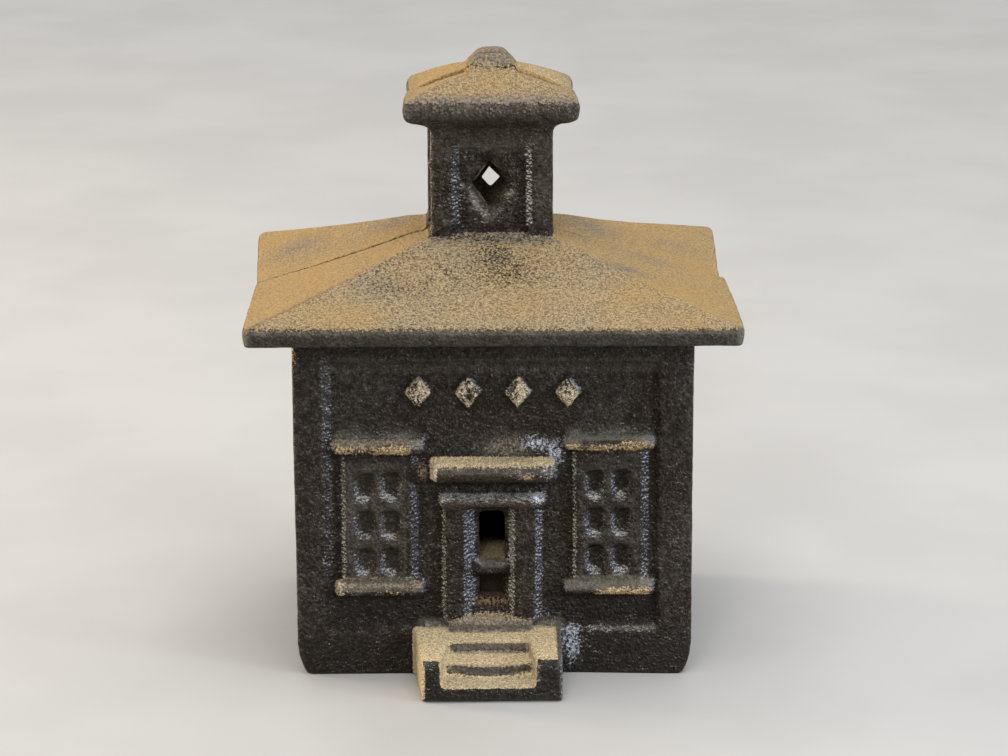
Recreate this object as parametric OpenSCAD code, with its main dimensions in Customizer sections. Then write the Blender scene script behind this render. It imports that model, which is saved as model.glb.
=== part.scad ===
// Cast iron money box in the shape of a small bank building.
// Two half castings, a front and a rear, meet on a vertical plane just in front of
// y = 0 and are held together by one long screw. The front of the building faces -Y, +Z is up,
// and the floor it stands on is z = 0.

/* [Roof] */
// Width of the roof across the eaves, mm
roof_w = 81; // [79:0.5:84]
// Depth of the roof, front eave to rear eave, mm
roof_d = 63; // [61:0.5:66]
// Height of the underside of the eaves, mm
eave_z = 58.6; // [58.2:0.1:59.6]
// Thickness of the eaves at their edge, mm
eave_t = 3.2; // [2.8:0.1:3.6]
// Height from the eaves' upper edge to the foot of the cupola, mm
roof_rise = 9.3; // [8.8:0.1:9.8]
// How hollow the roof slopes are, 0 for flat slopes
roof_sag = 0.16; // [0:0.02:0.3]

/* [Walls] */
// Width of the building at the top of the walls, mm
wall_w = 65.6; // [65:0.1:66.6]
// Depth of the building, front wall to rear wall, mm
wall_d = 49; // [48.4:0.1:50]
// How much narrower the building is at the floor, each side, mm
wall_lean = 0.3; // [0:0.05:0.6]
// Thickness of the cast walls, mm
wall_t = 2.6; // [2.2:0.1:3]
// Depth of the sunk panel inside the wall's border, mm
panel_sink = 0.9; // [0.6:0.1:1.1]
// Width of the border left and right of the sunk panel, mm
border_x = 5.2; // [4.6:0.1:5.6]
// Lower edge of the sunk panel, mm
panel_z0 = 7.5; // [7.2:0.1:7.9]
// Upper edge of the sunk panel, mm
panel_z1 = 54.6; // [54:0.1:55.2]

/* [Windows] */
// Distance of each window's centre from the middle of the wall, mm
window_x = 19; // [18.6:0.1:19.2]
// Width of the raised window frame, mm
window_w = 11.7; // [11.2:0.1:12]
// Lower edge of the window frame, mm
window_z0 = 15.6; // [15:0.1:16]
// Upper edge of the window frame, mm
window_z1 = 40.4; // [40:0.1:41]
// How far the window frame stands out of the panel, mm
window_t = 1.35; // [1.1:0.05:1.6]
// Width of one pane, mm
pane_w = 3.4; // [3:0.1:3.6]
// Height of one pane, mm
pane_h = 5; // [4.6:0.1:5.4]
// Spacing of the panes across, mm
pane_dx = 4.3; // [4.2:0.05:4.5]
// Spacing of the panes up the window, mm
pane_dz = 6.5; // [6.3:0.1:6.8]

/* [Door] */
// Width of the hood over the door, mm
hood_w = 20.7; // [20:0.1:21.4]
// How far the hood stands out of the panel, mm
hood_out = 3.1; // [2.6:0.1:3.4]
// Width of the door opening, mm
door_w = 4.2; // [4:0.1:4.4]
// Sideways offset of the door opening from the middle of the wall, mm
door_x = -0.15; // [-0.3:0.05:0]
// How far the columns stand out of the panel, mm
column_out = 1.5; // [1.2:0.1:1.8]

/* [Steps] */
// Width of the steps, cheek to cheek, at their front, mm
steps_w = 23.2; // [22.6:0.1:23.6]
// How far the steps reach out from the wall, mm
steps_d = 13.4; // [13:0.1:13.8]
// Sideways offset of the steps from the middle of the wall, mm
steps_x = -0.35; // [-0.8:0.05:0]

/* [Cupola] */
// Width of the cupola, mm
cupola_w = 20.4; // [20:0.1:20.8]
// Depth of the cupola, mm
cupola_d = 15.6; // [15.2:0.1:16]
// Width of the cap over the cupola, mm
cap_w = 29.2; // [28.6:0.1:29.8]
// Depth of the cap over the cupola, mm
cap_d = 21.4; // [20.8:0.1:22]
// Half width of the front diamond opening, mm
diamond_a = 2.9; // [2.6:0.05:3]
// Half height of the front diamond opening, mm
diamond_b = 4.2; // [3.9:0.05:4.3]
// Half width of the smaller rear diamond opening, mm
rear_a = 1.65; // [1.4:0.05:2]
// Half height of the smaller rear diamond opening, mm
rear_b = 1.9; // [1.6:0.05:2.2]

/* [Coin slot] */
// Length of the coin slot in the rear wall, mm
slot_w = 31; // [29:0.5:32]
// Height of the coin slot, mm
slot_h = 4.6; // [4.4:0.1:4.8]

/* [Screw] */
// Height of the screw's axis, mm
screw_z = 14.8; // [14.6:0.1:15]
// Diameter of the screw's shank, mm
screw_dia = 3.5; // [3.3:0.1:3.6]
// Side of the square nut, mm
nut_w = 7.9; // [7.6:0.1:8]
// Thickness of the square nut, mm
nut_t = 2.9; // [2.7:0.1:2.9]

/* [Castings] */
// How far the rear casting sits off to the left of the front one, mm
mismatch = 0.4; // [0:0.1:0.6]
// How much narrower the eaves are at the seam than at the front, each side, mm
waist = 1.1; // [0:0.05:1.3]
// How far the seam lies in front of the middle of the bank, mm
seam = 1.8; // [0:0.1:2]

/* [Hidden] */
$fn = 48;

rx = roof_w / 2;                 // roof half width
ry = roof_d / 2;                 // roof half depth
wx = wall_w / 2;                 // wall half width
wy = wall_d / 2;                 // wall face, distance from the middle
py = wy - panel_sink;            // panel face, distance from the middle
iy = py - wall_t;                // inner face of the front and rear walls
ix = wx - wall_t - 0.3;          // inner face of the side walls
roof_z = eave_z + eave_t;        // upper edge of the eaves
cup_z = roof_z + roof_rise;      // foot of the cupola
cx = cupola_w / 2;
cy = cupola_d / 2;
sox = cup_z + 19.3;              // underside of the cap
dia_z = cup_z + 8.45;            // centre of the front diamond opening
floor_t = 2.6;
screw_r = screw_dia / 2;
hole_r = screw_r + 0.3;          // clearance hole for the shank
head_y = py + 1;                 // face of the pad under the washer
gap = 0.05;                      // running gap between faces that part

// Extrusions of a drawn outline: front view along Y, side view along X.
module along_y(pts, y0, y1)
    translate([0, y1, 0]) rotate([90, 0, 0]) linear_extrude(y1 - y0) polygon(pts);
module along_x(pts, x0, x1)
    translate([x0, 0, 0]) rotate([90, 0, 90]) linear_extrude(x1 - x0) polygon(pts);

// Mirrors a right-hand half outline to a closed one.
function both(h) = concat(h, [for (i = [len(h) - 1 : -1 : 0]) [-h[i][0], h[i][1]]]);

// Half outline of the roof: rounded eave edge, then the hollow slope up to the
// cupola, with a small fillet at the cupola's foot. s is the half size at the eave
// and r the half size of the cupola.
function roof_half(s, r) = concat(
    [[s - 1.1, eave_z], [s - 0.5, eave_z + 0.15], [s - 0.28, eave_z + 0.6],
     [s, roof_z - 0.9], [s - 0.06, roof_z - 0.4], [s - 0.4, roof_z - 0.05]],
    [for (i = [0 : 9]) let (t = i / 10)
        [s - 0.8 - (s - 0.8 - r - 0.9) * t, roof_z + 0.12 + (roof_rise - 0.2) * (t - roof_sag * t * (1 - t))]],
    [[r + 0.5, cup_z - 0.24], [r + 0.2, cup_z - 0.06], [r + 0.04, cup_z + 0.16], [r - 0.1, cup_z + 0.5]]);

// Half outline of the roof's inside, wall_t below the slopes.
function attic_half(s, r) = [[s, eave_z - 2], [s, roof_z + 0.1],
    [r + (s - r) * 0.5, roof_z + roof_rise * 0.42 - 1.2], [r, cup_z - wall_t - 0.6], [r, cup_z]];

// Half outline of the cupola's cove, cap and finial. b is the half size of the
// cupola, c of the cap, f of the finial's foot and g of its top.
function cap_half(b, c, f, g) = concat(
    [[b - 0.4, cup_z + 12], [b - 0.05, sox - 2.7]],
    [for (i = [0 : 5]) let (a = 180 - 15 * i) [b - 0.05 + 2.1 + 2.1 * cos(a), sox - 2.1 + 2.1 * sin(a)]],
    [[c - 1.7, sox + 0.3], [c - 0.8, sox + 0.85], [c - 0.2, sox + 1.45], [c, sox + 2.2],
     [c - 0.06, sox + 2.9], [c - 0.3, sox + 3.6], [c - 0.85, sox + 4.15]],
    [for (i = [1 : 6]) let (t = i / 6)
        [c - 0.85 - (c - 0.85 - f) * t, sox + 4.15 + 3.75 * (t + 0.3 * t * (1 - t))]],
    [[f - 0.3, sox + 8.7], [g + 0.8, sox + 9.9], [g + 0.25, sox + 10.6], [g - 0.5, sox + 11]]);

// Plan outline that trims the eaves and the cap: rounded corners and narrower at
// the seam. r is the half width, d the depth from the middle.
module eave_plan(r, d, seam_half, y1)
    polygon([[-seam_half, y1], [-r, -d + 1.6], [-r + 0.5, -d + 0.5], [-r + 1.6, -d],
             [r - 1.6, -d], [r - 0.5, -d + 0.5], [r, -d + 1.6], [seam_half, y1]]);

// Half of the building's plain outside, drawn as the front half, from the front
// wall back to the seam at y1. r is the roof's half width and c the cap's, and
// cap_off moves the cap and finial sideways.
module outer_half(r, c, y1, cap_off) {
    // walls, leaning in a little towards the floor, lower corners rounded
    along_y(both([[wx - wall_lean - 1.9, 0], [wx - wall_lean - 1.35, 0.35],
                  [wx - wall_lean - 0.7, 1.8], [wx - wall_lean - 0.18, 3.6],
                  [wx - wall_lean, 5.4], [wx, eave_z + 1]]), -wy, y1);
    // roof
    intersection() {
        along_y(both(roof_half(r, cx)), -ry - 1, y1);
        along_x(both(roof_half(ry, cy)), -rx - 1, rx + 1);
        linear_extrude(cup_z + 4) eave_plan(r, ry, r - waist, y1);
    }
    // cupola, its sides drafted towards the seam
    translate([0, 0, cup_z - 1])
        linear_extrude(sox - cup_z + 1)
            polygon([[-cx - 0.12, y1], [-cx, -cy + 0.4], [-cx + 0.4, -cy],
                     [cx - 0.4, -cy], [cx, -cy + 0.4], [cx + 0.12, y1]]);
    // cove, cap and finial
    translate([cap_off, 0, 0]) intersection() {
        along_y(both(cap_half(cx - abs(cap_off), c, 4.2, 2.2)), -cap_d, y1);
        along_x(both(cap_half(cy, cap_d / 2, 3.7, 2)), -cap_w, cap_w);
        linear_extrude(roof_z + 50) eave_plan(c, cap_d / 2, c - waist / 2, y1);
    }
}

// Hollow inside of a half: room, attic and cupola in one.
module inner_half(y1) {
    along_y(both([[ix - wall_lean - 1.2, floor_t], [ix - wall_lean - 0.4, floor_t + 0.6],
                  [ix - wall_lean, floor_t + 1.8], [ix, eave_z]]), -iy, y1 + 1);
    intersection() {
        along_y(both(attic_half(ix, cx - wall_t - 0.1)), -iy, y1 + 1);
        along_x(both(attic_half(iy, cy - wall_t + 0.1)), -rx, rx);
    }
    translate([-cx + wall_t + 0.1, -cy + wall_t - 0.1, cup_z - 3])
        cube([2 * (cx - wall_t - 0.1), cy - wall_t + 1.1 + y1, sox - cup_z + 5]);
}

// Places drawn detail on a wall face at distance d from the seam: local X and Y are
// across and up the wall, local Z stands out of it.
module on_wall(d) translate([0, -d, 0]) rotate([90, 0, 0]) children();

// Block that tapers from the rectangle p at local height t0 to the rectangle q at t1.
// A rectangle is [left, bottom, right, top].
module taper(p, q, t0, t1)
    let (sx = (q[2] - q[0]) / (p[2] - p[0]), sz = (q[3] - q[1]) / (p[3] - p[1]),
         fx = (q[0] - sx * p[0]) / (1 - sx), fz = (q[1] - sz * p[1]) / (1 - sz))
        translate([fx, fz, t0]) linear_extrude(t1 - t0, $fn = 4, scale = [sx, sz])
            translate([p[0] - fx, p[1] - fz]) square([p[2] - p[0], p[3] - p[1]]);

// Raised pad with sloped sides. r is its rectangle at the wall, t its height, and
// b the widths of its slopes: left, bottom, right, top.
module pad(r, t, b)
    let (k = 0.3 / t)
        taper([r[0] - k * b[0], r[1] - k * b[1], r[2] + k * b[2], r[3] + k * b[3]],
              [r[0] + b[0], r[1] + b[1], r[2] - b[2], r[3] - b[3]], -0.3, t);

// Sunk panel with sloped sides. r is its rectangle at the surface, t its depth, and
// b the widths of its slopes: left, bottom, right, top.
module sunk(r, t, b)
    let (k = 0.6 / t)
        taper([r[0] + b[0], r[1] + b[1], r[2] - b[2], r[3] - b[3]],
              [r[0] - k * b[0], r[1] - k * b[1], r[2] + k * b[2], r[3] + k * b[3]], -t, 0.6);

// One pane: a pocket with a rounded lower end and sloped sides.
module pane(w, h, t, b)
    let (k = 0.5) translate([0, 0, -t])
        linear_extrude(t + k, $fn = 4, scale = [(w + 2 * b * k / t) / (w - 2 * b), (h + 2 * b * k / t) / (h - 2 * b)])
            let (u = w / 2 - b, v = h / 2 - b)
                polygon(concat([for (a = [180 : 22.5 : 360]) [u * cos(a), -v + u + u * sin(a)]],
                    [[u, v - 0.5], [u - 0.5, v], [-u + 0.5, v], [-u, v - 0.5]]));

// Moulded ledge: lintel, sill or hood. Its section is a rounded wedge, drawn in side
// view and run from x0 to x1. d is the face it stands on.
module ledge(x0, x1, z0, z1, out, d)
    let (h = z1 - z0)
        along_x([[-d + 0.4, z0 + 0.1 * h], [-d, z0 + 0.05 * h], [-d - 0.62 * out, z0], [-d - 0.9 * out, z0 + 0.1 * h],
                 [-d - out, z0 + 0.26 * h], [-d - out, z0 + 0.46 * h], [-d - 0.88 * out, z0 + 0.66 * h],
                 [-d - 0.6 * out, z0 + 0.82 * h], [-d - 0.2 * out, z0 + 0.94 * h], [-d, z1], [-d + 0.4, z1]], x0, x1);

// A window: raised frame with two columns of three panes, lintel and sill. drop is
// how much lower its lintel and panes sit than those of its neighbour.
module window(xc, drop) {
    zc = (window_z0 + window_z1) / 2;
    difference() {
        on_wall(py) pad([xc - window_w / 2, window_z0, xc + window_w / 2 + 1.1, window_z1],
                        window_t, [0.6, 0.75, 1.85, 0.75]);
        for (i = [-0.5, 0.5], j = [-1, 0, 1])
            translate([xc + i * pane_dx, 0, 0]) on_wall(py + window_t)
                translate([0, zc - 1.25 - 0.4 * drop + j * pane_dz, 0]) pane(pane_w, pane_h, window_t + 0.15, 0.55);
    }
    ledge(xc - 7.2, xc + 7.6, 39.35 - drop, 41.9 - drop / 2, 2.2, py);
    ledge(xc - 7, xc + 7.55, 14.1, 16.9, 2.5, py);
}

// Wall face of a half: sunk panel inside its border.
module wall_panel()
    on_wall(wy) sunk([-wx + border_x - 0.4, panel_z0, wx - border_x, panel_z1], panel_sink, [2, 1.85, 0.8, 0.8]);

// Cupola face: sunk panel between corner strips.
module cupola_face()
    translate([0, 0, cup_z + 0.25]) linear_extrude(15.2)
        polygon([[-7.35, -cy - 0.4], [-5.06, -cy + 0.8], [5.8, -cy + 0.8], [6.85, -cy - 0.4]]);

// Diamond of half width a and half height b, its side corners cut by side and its
// upper and lower ones by tip, and the bevelled opening of that size at x, z.
function blunt(a, b, side, tip) = [for (i = [0 : 3], j = [-1, 1]) let (k = i % 2 == 0 ? side : tip)
    [a * (cos(90 * i) * (1 - k) - j * k * sin(90 * i)), b * (sin(90 * i) * (1 - k) + j * k * cos(90 * i))]];
module diamond(x, z, a, b) {
    // bevel, wide at the face
    on_wall(cy - 0.8) translate([x - 0.06 * a, z + 0.035 * b, -0.85])
        linear_extrude(1.25, $fn = 4, scale = [1.9, 1.81]) polygon(blunt(0.95 * a, 1.167 * b, 0.04, 0.2));
    // opening
    on_wall(cy + 1) translate([x, z, -wall_t - 2])
        linear_extrude(wall_t + 2) polygon(blunt(a, b, 0.13, 0.13));
}

// Doorway of the front wall, raised parts. A column's plan is given by the places
// of its left foot, left edge, right edge and right foot.
module column(p) translate([0, 0, 9.2]) linear_extrude(21)
    polygon([for (q = [[p[0], 0.4], [p[0], 0], [p[0] + 0.2 * (p[1] - p[0]), -0.6 * column_out], [p[1], -column_out],
                       [p[2], -column_out], [p[2] + 0.4 * (p[3] - p[2]), -0.6 * column_out],
                       [p[2] + 0.72 * (p[3] - p[2]), -0.22 * column_out], [p[3], 0], [p[3], 0.4]])
             [q[0], q[1] - py]]);
module door_relief() {
    // hood, its top sloped and its front nearly upright
    along_x([for (q = [[-0.4, 33.95], [0.6 * hood_out, 33.8], [hood_out - 0.35, 34], [hood_out - 0.05, 34.45], [hood_out, 35.2],
                       [hood_out, 36.5], [hood_out - 0.15, 36.95], [hood_out - 0.5, 37.3], [0, 37.85], [-0.4, 37.85]])
             [-py - q[0], q[1]]], -hood_w / 2, hood_w / 2);
    ledge(-8.7, 8.5, 29.45, 32.1, 2.2, py);
    column([-8.25, -7.5, -5.05, -3.3]);
    column([3, 4.25, 6.6, 8.5]);
    // threshold, sloped on top and narrower towards the wall
    hull() {
        translate([-5.3 - 0.35, -py - 0.2, 6.6]) cube([10.6, 0.3, 3.7]);
        translate([-7 - 0.4, -wy - 1.1, 6.6]) cube([13.9, 0.3, 2.7]);
    }
}

// Doorway, parts cut away: the leaf between the columns is sunk, its upper part is a
// pocket with a bowed foot, and two openings are cut into it.
module door_cut() translate([door_x, 0, 0]) {
    on_wall(py) translate([0, 23.8, 0]) pane(6.3, 11.2, 0.85, 0.35);
    on_wall(py) sunk([-3.1, 11.5, 3.1, 17.3], 0.85, [0.45, 1.3, 0.45, 0.3]);
    translate([-door_w / 2, -py - 1, 19.35]) cube([door_w, wall_t + 2, 8.7]);
    translate([-door_w / 2, -py - 1, 12.95]) cube([door_w, 1 + 3.1, 3.9]);
}

// Steps: three worn treads between two cheeks. The left cheek spreads towards the
// wall more than the right one.
module steps() {
    hw = steps_w / 2;
    f = wy + steps_d;
    tread = [[-wy + 1, 0], [-wy + 1, 8.1], [-wy, 8.1], [-wy - 1.1, 8.03], [-wy - 5, 7.3],
             [-wy - 5.1, 5.9], [-wy - 9.3, 5.3], [-wy - 9.5, 3.6], [-f + 0.25, 2.75], [-f, 2.4], [-f, 1],
             [-f + 0.4, 0.3], [-f + 1, 0]];
    cheek = [[-wy + 1, 0], [-wy + 1, 8.5], [-wy, 8.4], [-f + 1, 7.05], [-f + 0.2, 6.6], [-f, 6.1],
             [-f, 1], [-f + 0.4, 0.3], [-f + 1, 0]];
    // per side: sign, half width outside at the wall, half widths inside at the wall,
    // by the upper tread and at the front
    sides = [[-1, hw + 1.2, 7.1, 7.15, 8.5], [1, hw, 6, 6.05, 7.3]];
    translate([steps_x, 0, 0]) {
        along_x(tread, -hw + 2, hw - 2);
        // middle tread, bowed forward
        intersection() {
            translate([-0.4, -wy - 10.35 + 27, 3]) cylinder(r = 27, h = 2.2, $fn = 180);
            translate([-7.9, -f + 1, 3]) cube([15, 4.6, 4]);
        }
        for (v = sides) intersection() {
            along_x(cheek, -hw - 3, hw + 3);
            linear_extrude(12) polygon([[v[0] * (v[1] + 0.05), -wy + 2], [v[0] * v[1], -wy],
                [v[0] * (hw - 0.05), -f + 0.9], [v[0] * (hw - 0.7), -f], [v[0] * v[4], -f],
                [v[0] * v[3], -wy - 5], [v[0] * v[2], -wy + 2]]);
        }
    }
}

// Row of plain raised lozenges under the front eave.
module lozenges()
    for (x = [-12.3, -4.1, 4.1, 12.3])
        on_wall(py) translate([x, 49, -0.2])
            linear_extrude(1.15, $fn = 4, scale = 0.62) polygon([[-2.7, 0], [0, -3.5], [2.7, 0], [0, 3.5]]);

// Block behind the door that takes the screw and its nut.
module nut_block() difference() {
    translate([-5.8, -iy - 0.5, screw_z - 5.4]) cube([11.6, 9.5, 10.3]);
    // slot for the nut, open to one side
    translate([-nut_w / 2 - 0.1, -17.55, screw_z - nut_w / 2 - 0.1]) cube([12, nut_t + 0.2, nut_w + 0.2]);
    translate([0, -19.1, screw_z]) rotate([-90, 0, 0]) cylinder(r = hole_r, h = 12);
}

// Locating lugs that reach past the seam inside the rear half.
module lugs()
    for (s = [-1, 1], z = [10, 46])
        translate([s * (ix - 1.35) - 0.9 - s * 0.45, -5 - seam, z]) cube([1.8, 7.2, 6]);
module lug_roots()
    for (s = [-1, 1], z = [10, 46])
        translate([s > 0 ? ix - 2.2 : -ix - 0.8, -5 - seam, z]) cube([3, 4.2, 6]);

module front_casting() color([0.10, 0.08, 0.07]) difference() {
    union() {
        difference() {
            outer_half(rx, cap_w / 2, -seam, 0);
            inner_half(-seam);
            wall_panel();
            cupola_face();
        }
        window(-window_x, 0.6);
        window(window_x, 0);
        door_relief();
        steps();
        lozenges();
        nut_block();
        lugs();
        lug_roots();
    }
    diamond(-0.2, dia_z, diamond_a, diamond_b);
    door_cut();
}

module rear_casting() color([0.12, 0.10, 0.09]) difference() {
    translate([-mismatch, 0, 0]) rotate([0, 0, 180]) {
        difference() {
            union() {
                difference() {
                    outer_half(rx - 0.5, cap_w / 2 - 0.5, seam, -0.45);
                    inner_half(seam);
                    wall_panel();
                    cupola_face();
                }
                window(-window_x, 0);
                window(window_x, 0);
                // rim of the coin slot
                on_wall(py) pad([-slot_w / 2 - 3.5, 46 - slot_h / 2, slot_w / 2 + 3.5, 52 + slot_h / 2], 1.2, [0.8, 0.8, 0.8, 0.8]);
                // raised pad under the washer, and the boss behind it
                translate([-mismatch, 0, 0]) on_wall(py) translate([0, screw_z, -wall_t - 4])
                    cylinder(r = 5.2, h = wall_t + 4);
                translate([-mismatch, 0, 0]) on_wall(py) translate([0, screw_z, -0.2])
                    cylinder(r1 = 6.7, r2 = 6, h = 1.2);
            }
            diamond(-0.45, dia_z - 1.5, rear_a, rear_b);
            on_wall(py + 2) translate([0, 49, -wall_t - 4])
                linear_extrude(wall_t + 8) square([slot_w, slot_h], center = true);
        }
    }
    translate([0, iy - 8, screw_z]) rotate([-90, 0, 0]) cylinder(r = hole_r, h = 20);
}

module tie_screw() color([0.45, 0.43, 0.40]) difference() {
    translate([0, 0, screw_z]) rotate([-90, 0, 0]) rotate_extrude()
        let (h = head_y + 2 * gap + 0.8)
            polygon(concat([[0, -18.8], [screw_r - 0.6, -18.8], [screw_r, -18.2], [screw_r, h], [3.4, h], [3.45, h + 0.35]],
                [for (i = [1 : 6]) let (a = 15 * i) [3.45 * cos(a), h + 0.35 + 1.9 * sin(a)]]));
    translate([-0.5, head_y + 0.9 + 1.25, screw_z - 5]) cube([1, 3, 10]);
}

module square_nut() color([0.40, 0.38, 0.36]) difference() {
    translate([-nut_w / 2, -17.45, screw_z - nut_w / 2]) cube([nut_w, nut_t, nut_w]);
    translate([0, -19, screw_z]) rotate([-90, 0, 0]) cylinder(r = screw_r + 0.05, h = 8);
}

module washer() color([0.48, 0.46, 0.43])
    translate([0, head_y + gap, screw_z]) rotate([-90, 0, 0]) difference() {
        cylinder(r = 4.7, h = 0.8);
        translate([0, 0, -1]) cylinder(r = screw_r + 0.06, h = 3);
    }

front_casting();
rear_casting();
tie_screw();
square_nut();
washer();
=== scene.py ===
import math

import bmesh
import bpy
import numpy as np
from mathutils import Matrix, Vector


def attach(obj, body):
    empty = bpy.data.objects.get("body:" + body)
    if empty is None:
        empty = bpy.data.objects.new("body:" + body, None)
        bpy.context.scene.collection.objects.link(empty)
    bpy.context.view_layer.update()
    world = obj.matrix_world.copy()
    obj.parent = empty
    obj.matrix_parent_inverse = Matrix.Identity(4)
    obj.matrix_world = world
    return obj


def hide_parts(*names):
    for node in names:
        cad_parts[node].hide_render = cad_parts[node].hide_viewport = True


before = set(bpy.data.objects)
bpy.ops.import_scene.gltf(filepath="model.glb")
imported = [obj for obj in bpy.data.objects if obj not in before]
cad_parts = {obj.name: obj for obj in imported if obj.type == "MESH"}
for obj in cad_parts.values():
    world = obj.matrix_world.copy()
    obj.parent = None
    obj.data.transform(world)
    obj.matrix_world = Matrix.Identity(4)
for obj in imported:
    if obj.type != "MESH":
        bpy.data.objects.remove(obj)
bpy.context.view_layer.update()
scene = bpy.context.scene

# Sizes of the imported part, in millimetres, that the finish follows.
ROOF_X, ROOF_Y, ROOF_Z, ROOF_RISE, ROOF_SAG = 40.5, 31.5, 61.8, 9.3, 0.16
CUP_X, CUP_Y, CUP_Z, CAP_Z = 10.2, 7.8, 71.1, 90.4
WALL_Y, PANEL_Y = 24.5, 23.6
SEAM_Y = -1.8
SCREW_Z = 14.8


# ---------------------------------------------------------------- helpers
def ss(a, b, v):
    """Smooth step from 0 at a to 1 at b; a may be larger than b."""
    t = np.clip((v - a) / (b - a), 0.0, 1.0)
    return t * t * (3.0 - 2.0 * t)


def band(v, a, b, s):
    """1 between a and b, fading over s on either side."""
    return ss(a - s, a, v) * ss(b + s, b, v)


def blob(p, c, r):
    """Soft ellipsoid: 1 at c, about 0.37 at distance r."""
    d = 0.0
    for k in range(3):
        if r[k]:
            d = d + ((p[:, k] - c[k]) / r[k]) ** 2
    return np.exp(-d)


_lattices = {}


def vnoise(p, wave, seed):
    """Smooth value noise of the given wavelength, in about -1..1."""
    if seed not in _lattices:
        _lattices[seed] = np.random.RandomState(seed).rand(48, 48, 48).astype(np.float32) * 2 - 1
    grid = _lattices[seed]
    q = p / wave + 113.7
    i = np.floor(q).astype(np.int64)
    f = (q - i).astype(np.float32)
    f = f * f * (3 - 2 * f)
    i %= 48
    j = (i + 1) % 48
    out = 0
    for a in (0, 1):
        wa = f[:, 0] if a else 1 - f[:, 0]
        ia = j[:, 0] if a else i[:, 0]
        for b in (0, 1):
            wb = f[:, 1] if b else 1 - f[:, 1]
            ib = j[:, 1] if b else i[:, 1]
            for c in (0, 1):
                wc = f[:, 2] if c else 1 - f[:, 2]
                ic = j[:, 2] if c else i[:, 2]
                out = out + wa * wb * wc * grid[ia, ib, ic]
    return out


def fbm(p, wave, seed, octaves=3):
    out, amp, total = 0, 1.0, 0
    for k in range(octaves):
        out = out + amp * vnoise(p, wave / 2 ** k, seed + k)
        total += amp
        amp *= 0.55
    return out / total * 1.4


def read(me, what="co"):
    n = len(me.vertices)
    a = np.empty(n * 3, np.float32)
    if what == "co":
        me.vertices.foreach_get("co", a)
    else:
        me.vertex_normals.foreach_get("vector", a)
    return a.reshape(-1, 3).astype(np.float64)


def write(me, co):
    me.vertices.foreach_set("co", co.astype(np.float32).ravel())
    me.update()


def applied(ob):
    """Applies the object's modifiers to its mesh."""
    dg = bpy.context.evaluated_depsgraph_get()
    me = bpy.data.meshes.new_from_object(ob.evaluated_get(dg), depsgraph=dg)
    old, ob.data = ob.data, me
    ob.modifiers.clear()
    bpy.data.meshes.remove(old)
    return ob


def skin(node, name, voxel, rounds):
    """A fine, evenly meshed and softened copy of a CAD node, ready to be finished."""
    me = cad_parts[node].data.copy()
    me.materials.clear()
    bm = bmesh.new()
    bm.from_mesh(me)
    bmesh.ops.remove_doubles(bm, verts=bm.verts, dist=1e-7)
    bm.to_mesh(me)
    bm.free()
    ob = bpy.data.objects.new(name, me)
    scene.collection.objects.link(ob)
    m = ob.modifiers.new("even", "REMESH")
    m.mode, m.voxel_size, m.adaptivity = "VOXEL", voxel, 0
    m = ob.modifiers.new("soft", "SMOOTH")
    m.factor, m.iterations = 0.5, rounds
    applied(ob)
    ob.data.name = name
    return ob


def curvature(me, co, nrm):
    """Positive on outward edges, negative in corners; mean edge length along."""
    n = len(me.vertices)
    e = np.empty(len(me.edges) * 2, np.int32)
    me.edges.foreach_get("vertices", e)
    e = e.reshape(-1, 2)
    s = np.zeros((n, 3))
    for k in range(3):
        s[:, k] = np.bincount(e[:, 0], co[e[:, 1], k], n) + np.bincount(e[:, 1], co[e[:, 0], k], n)
    d = np.bincount(e[:, 0], minlength=n) + np.bincount(e[:, 1], minlength=n)
    lap = co - s / np.maximum(d, 1)[:, None]
    c = (lap * nrm).sum(1)
    for _ in range(3):
        c = 0.5 * c + 0.5 * (np.bincount(e[:, 0], c[e[:, 1]], n) + np.bincount(e[:, 1], c[e[:, 0]], n)) / np.maximum(d, 1)
    return c


def layer(me, name, values):
    a = me.attributes.new(name, "FLOAT", "POINT")
    a.data.foreach_set("value", np.clip(values, 0, 1).astype(np.float32))


def smooth_shade(me):
    me.polygons.foreach_set("use_smooth", np.ones(len(me.polygons), bool))
    me.update()


# ---------------------------------------------------------------- castings
def roof_top(x, y):
    """Height of the roof's outer face."""
    out = None
    for v, s, r in ((np.abs(x), ROOF_X, CUP_X), (np.abs(y), ROOF_Y, CUP_Y)):
        t = np.clip((s - 0.8 - v) / (s - 0.8 - r - 0.9), -0.1, 1)
        z = ROOF_Z + 0.12 + (ROOF_RISE - 0.2) * (t - ROOF_SAG * t * (1 - t))
        out = z if out is None else np.minimum(out, z)
    return out


def inner(p):
    """1 on the castings' inside."""
    x, y, z = np.abs(p[:, 0]), np.abs(p[:, 1]), p[:, 2]
    room = (x < 30.9) & (y < 21.9) & (z > 1.6) & (z < 60)
    attic = (x < 31) & (y < 22.6) & (z >= 60) & (z < roof_top(p[:, 0], p[:, 1]) - 1.1)
    cupola = (x < 8.6) & (y < 6.1) & (z > 64) & (z < 92.9)
    return (room | attic | cupola).astype(float)


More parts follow.
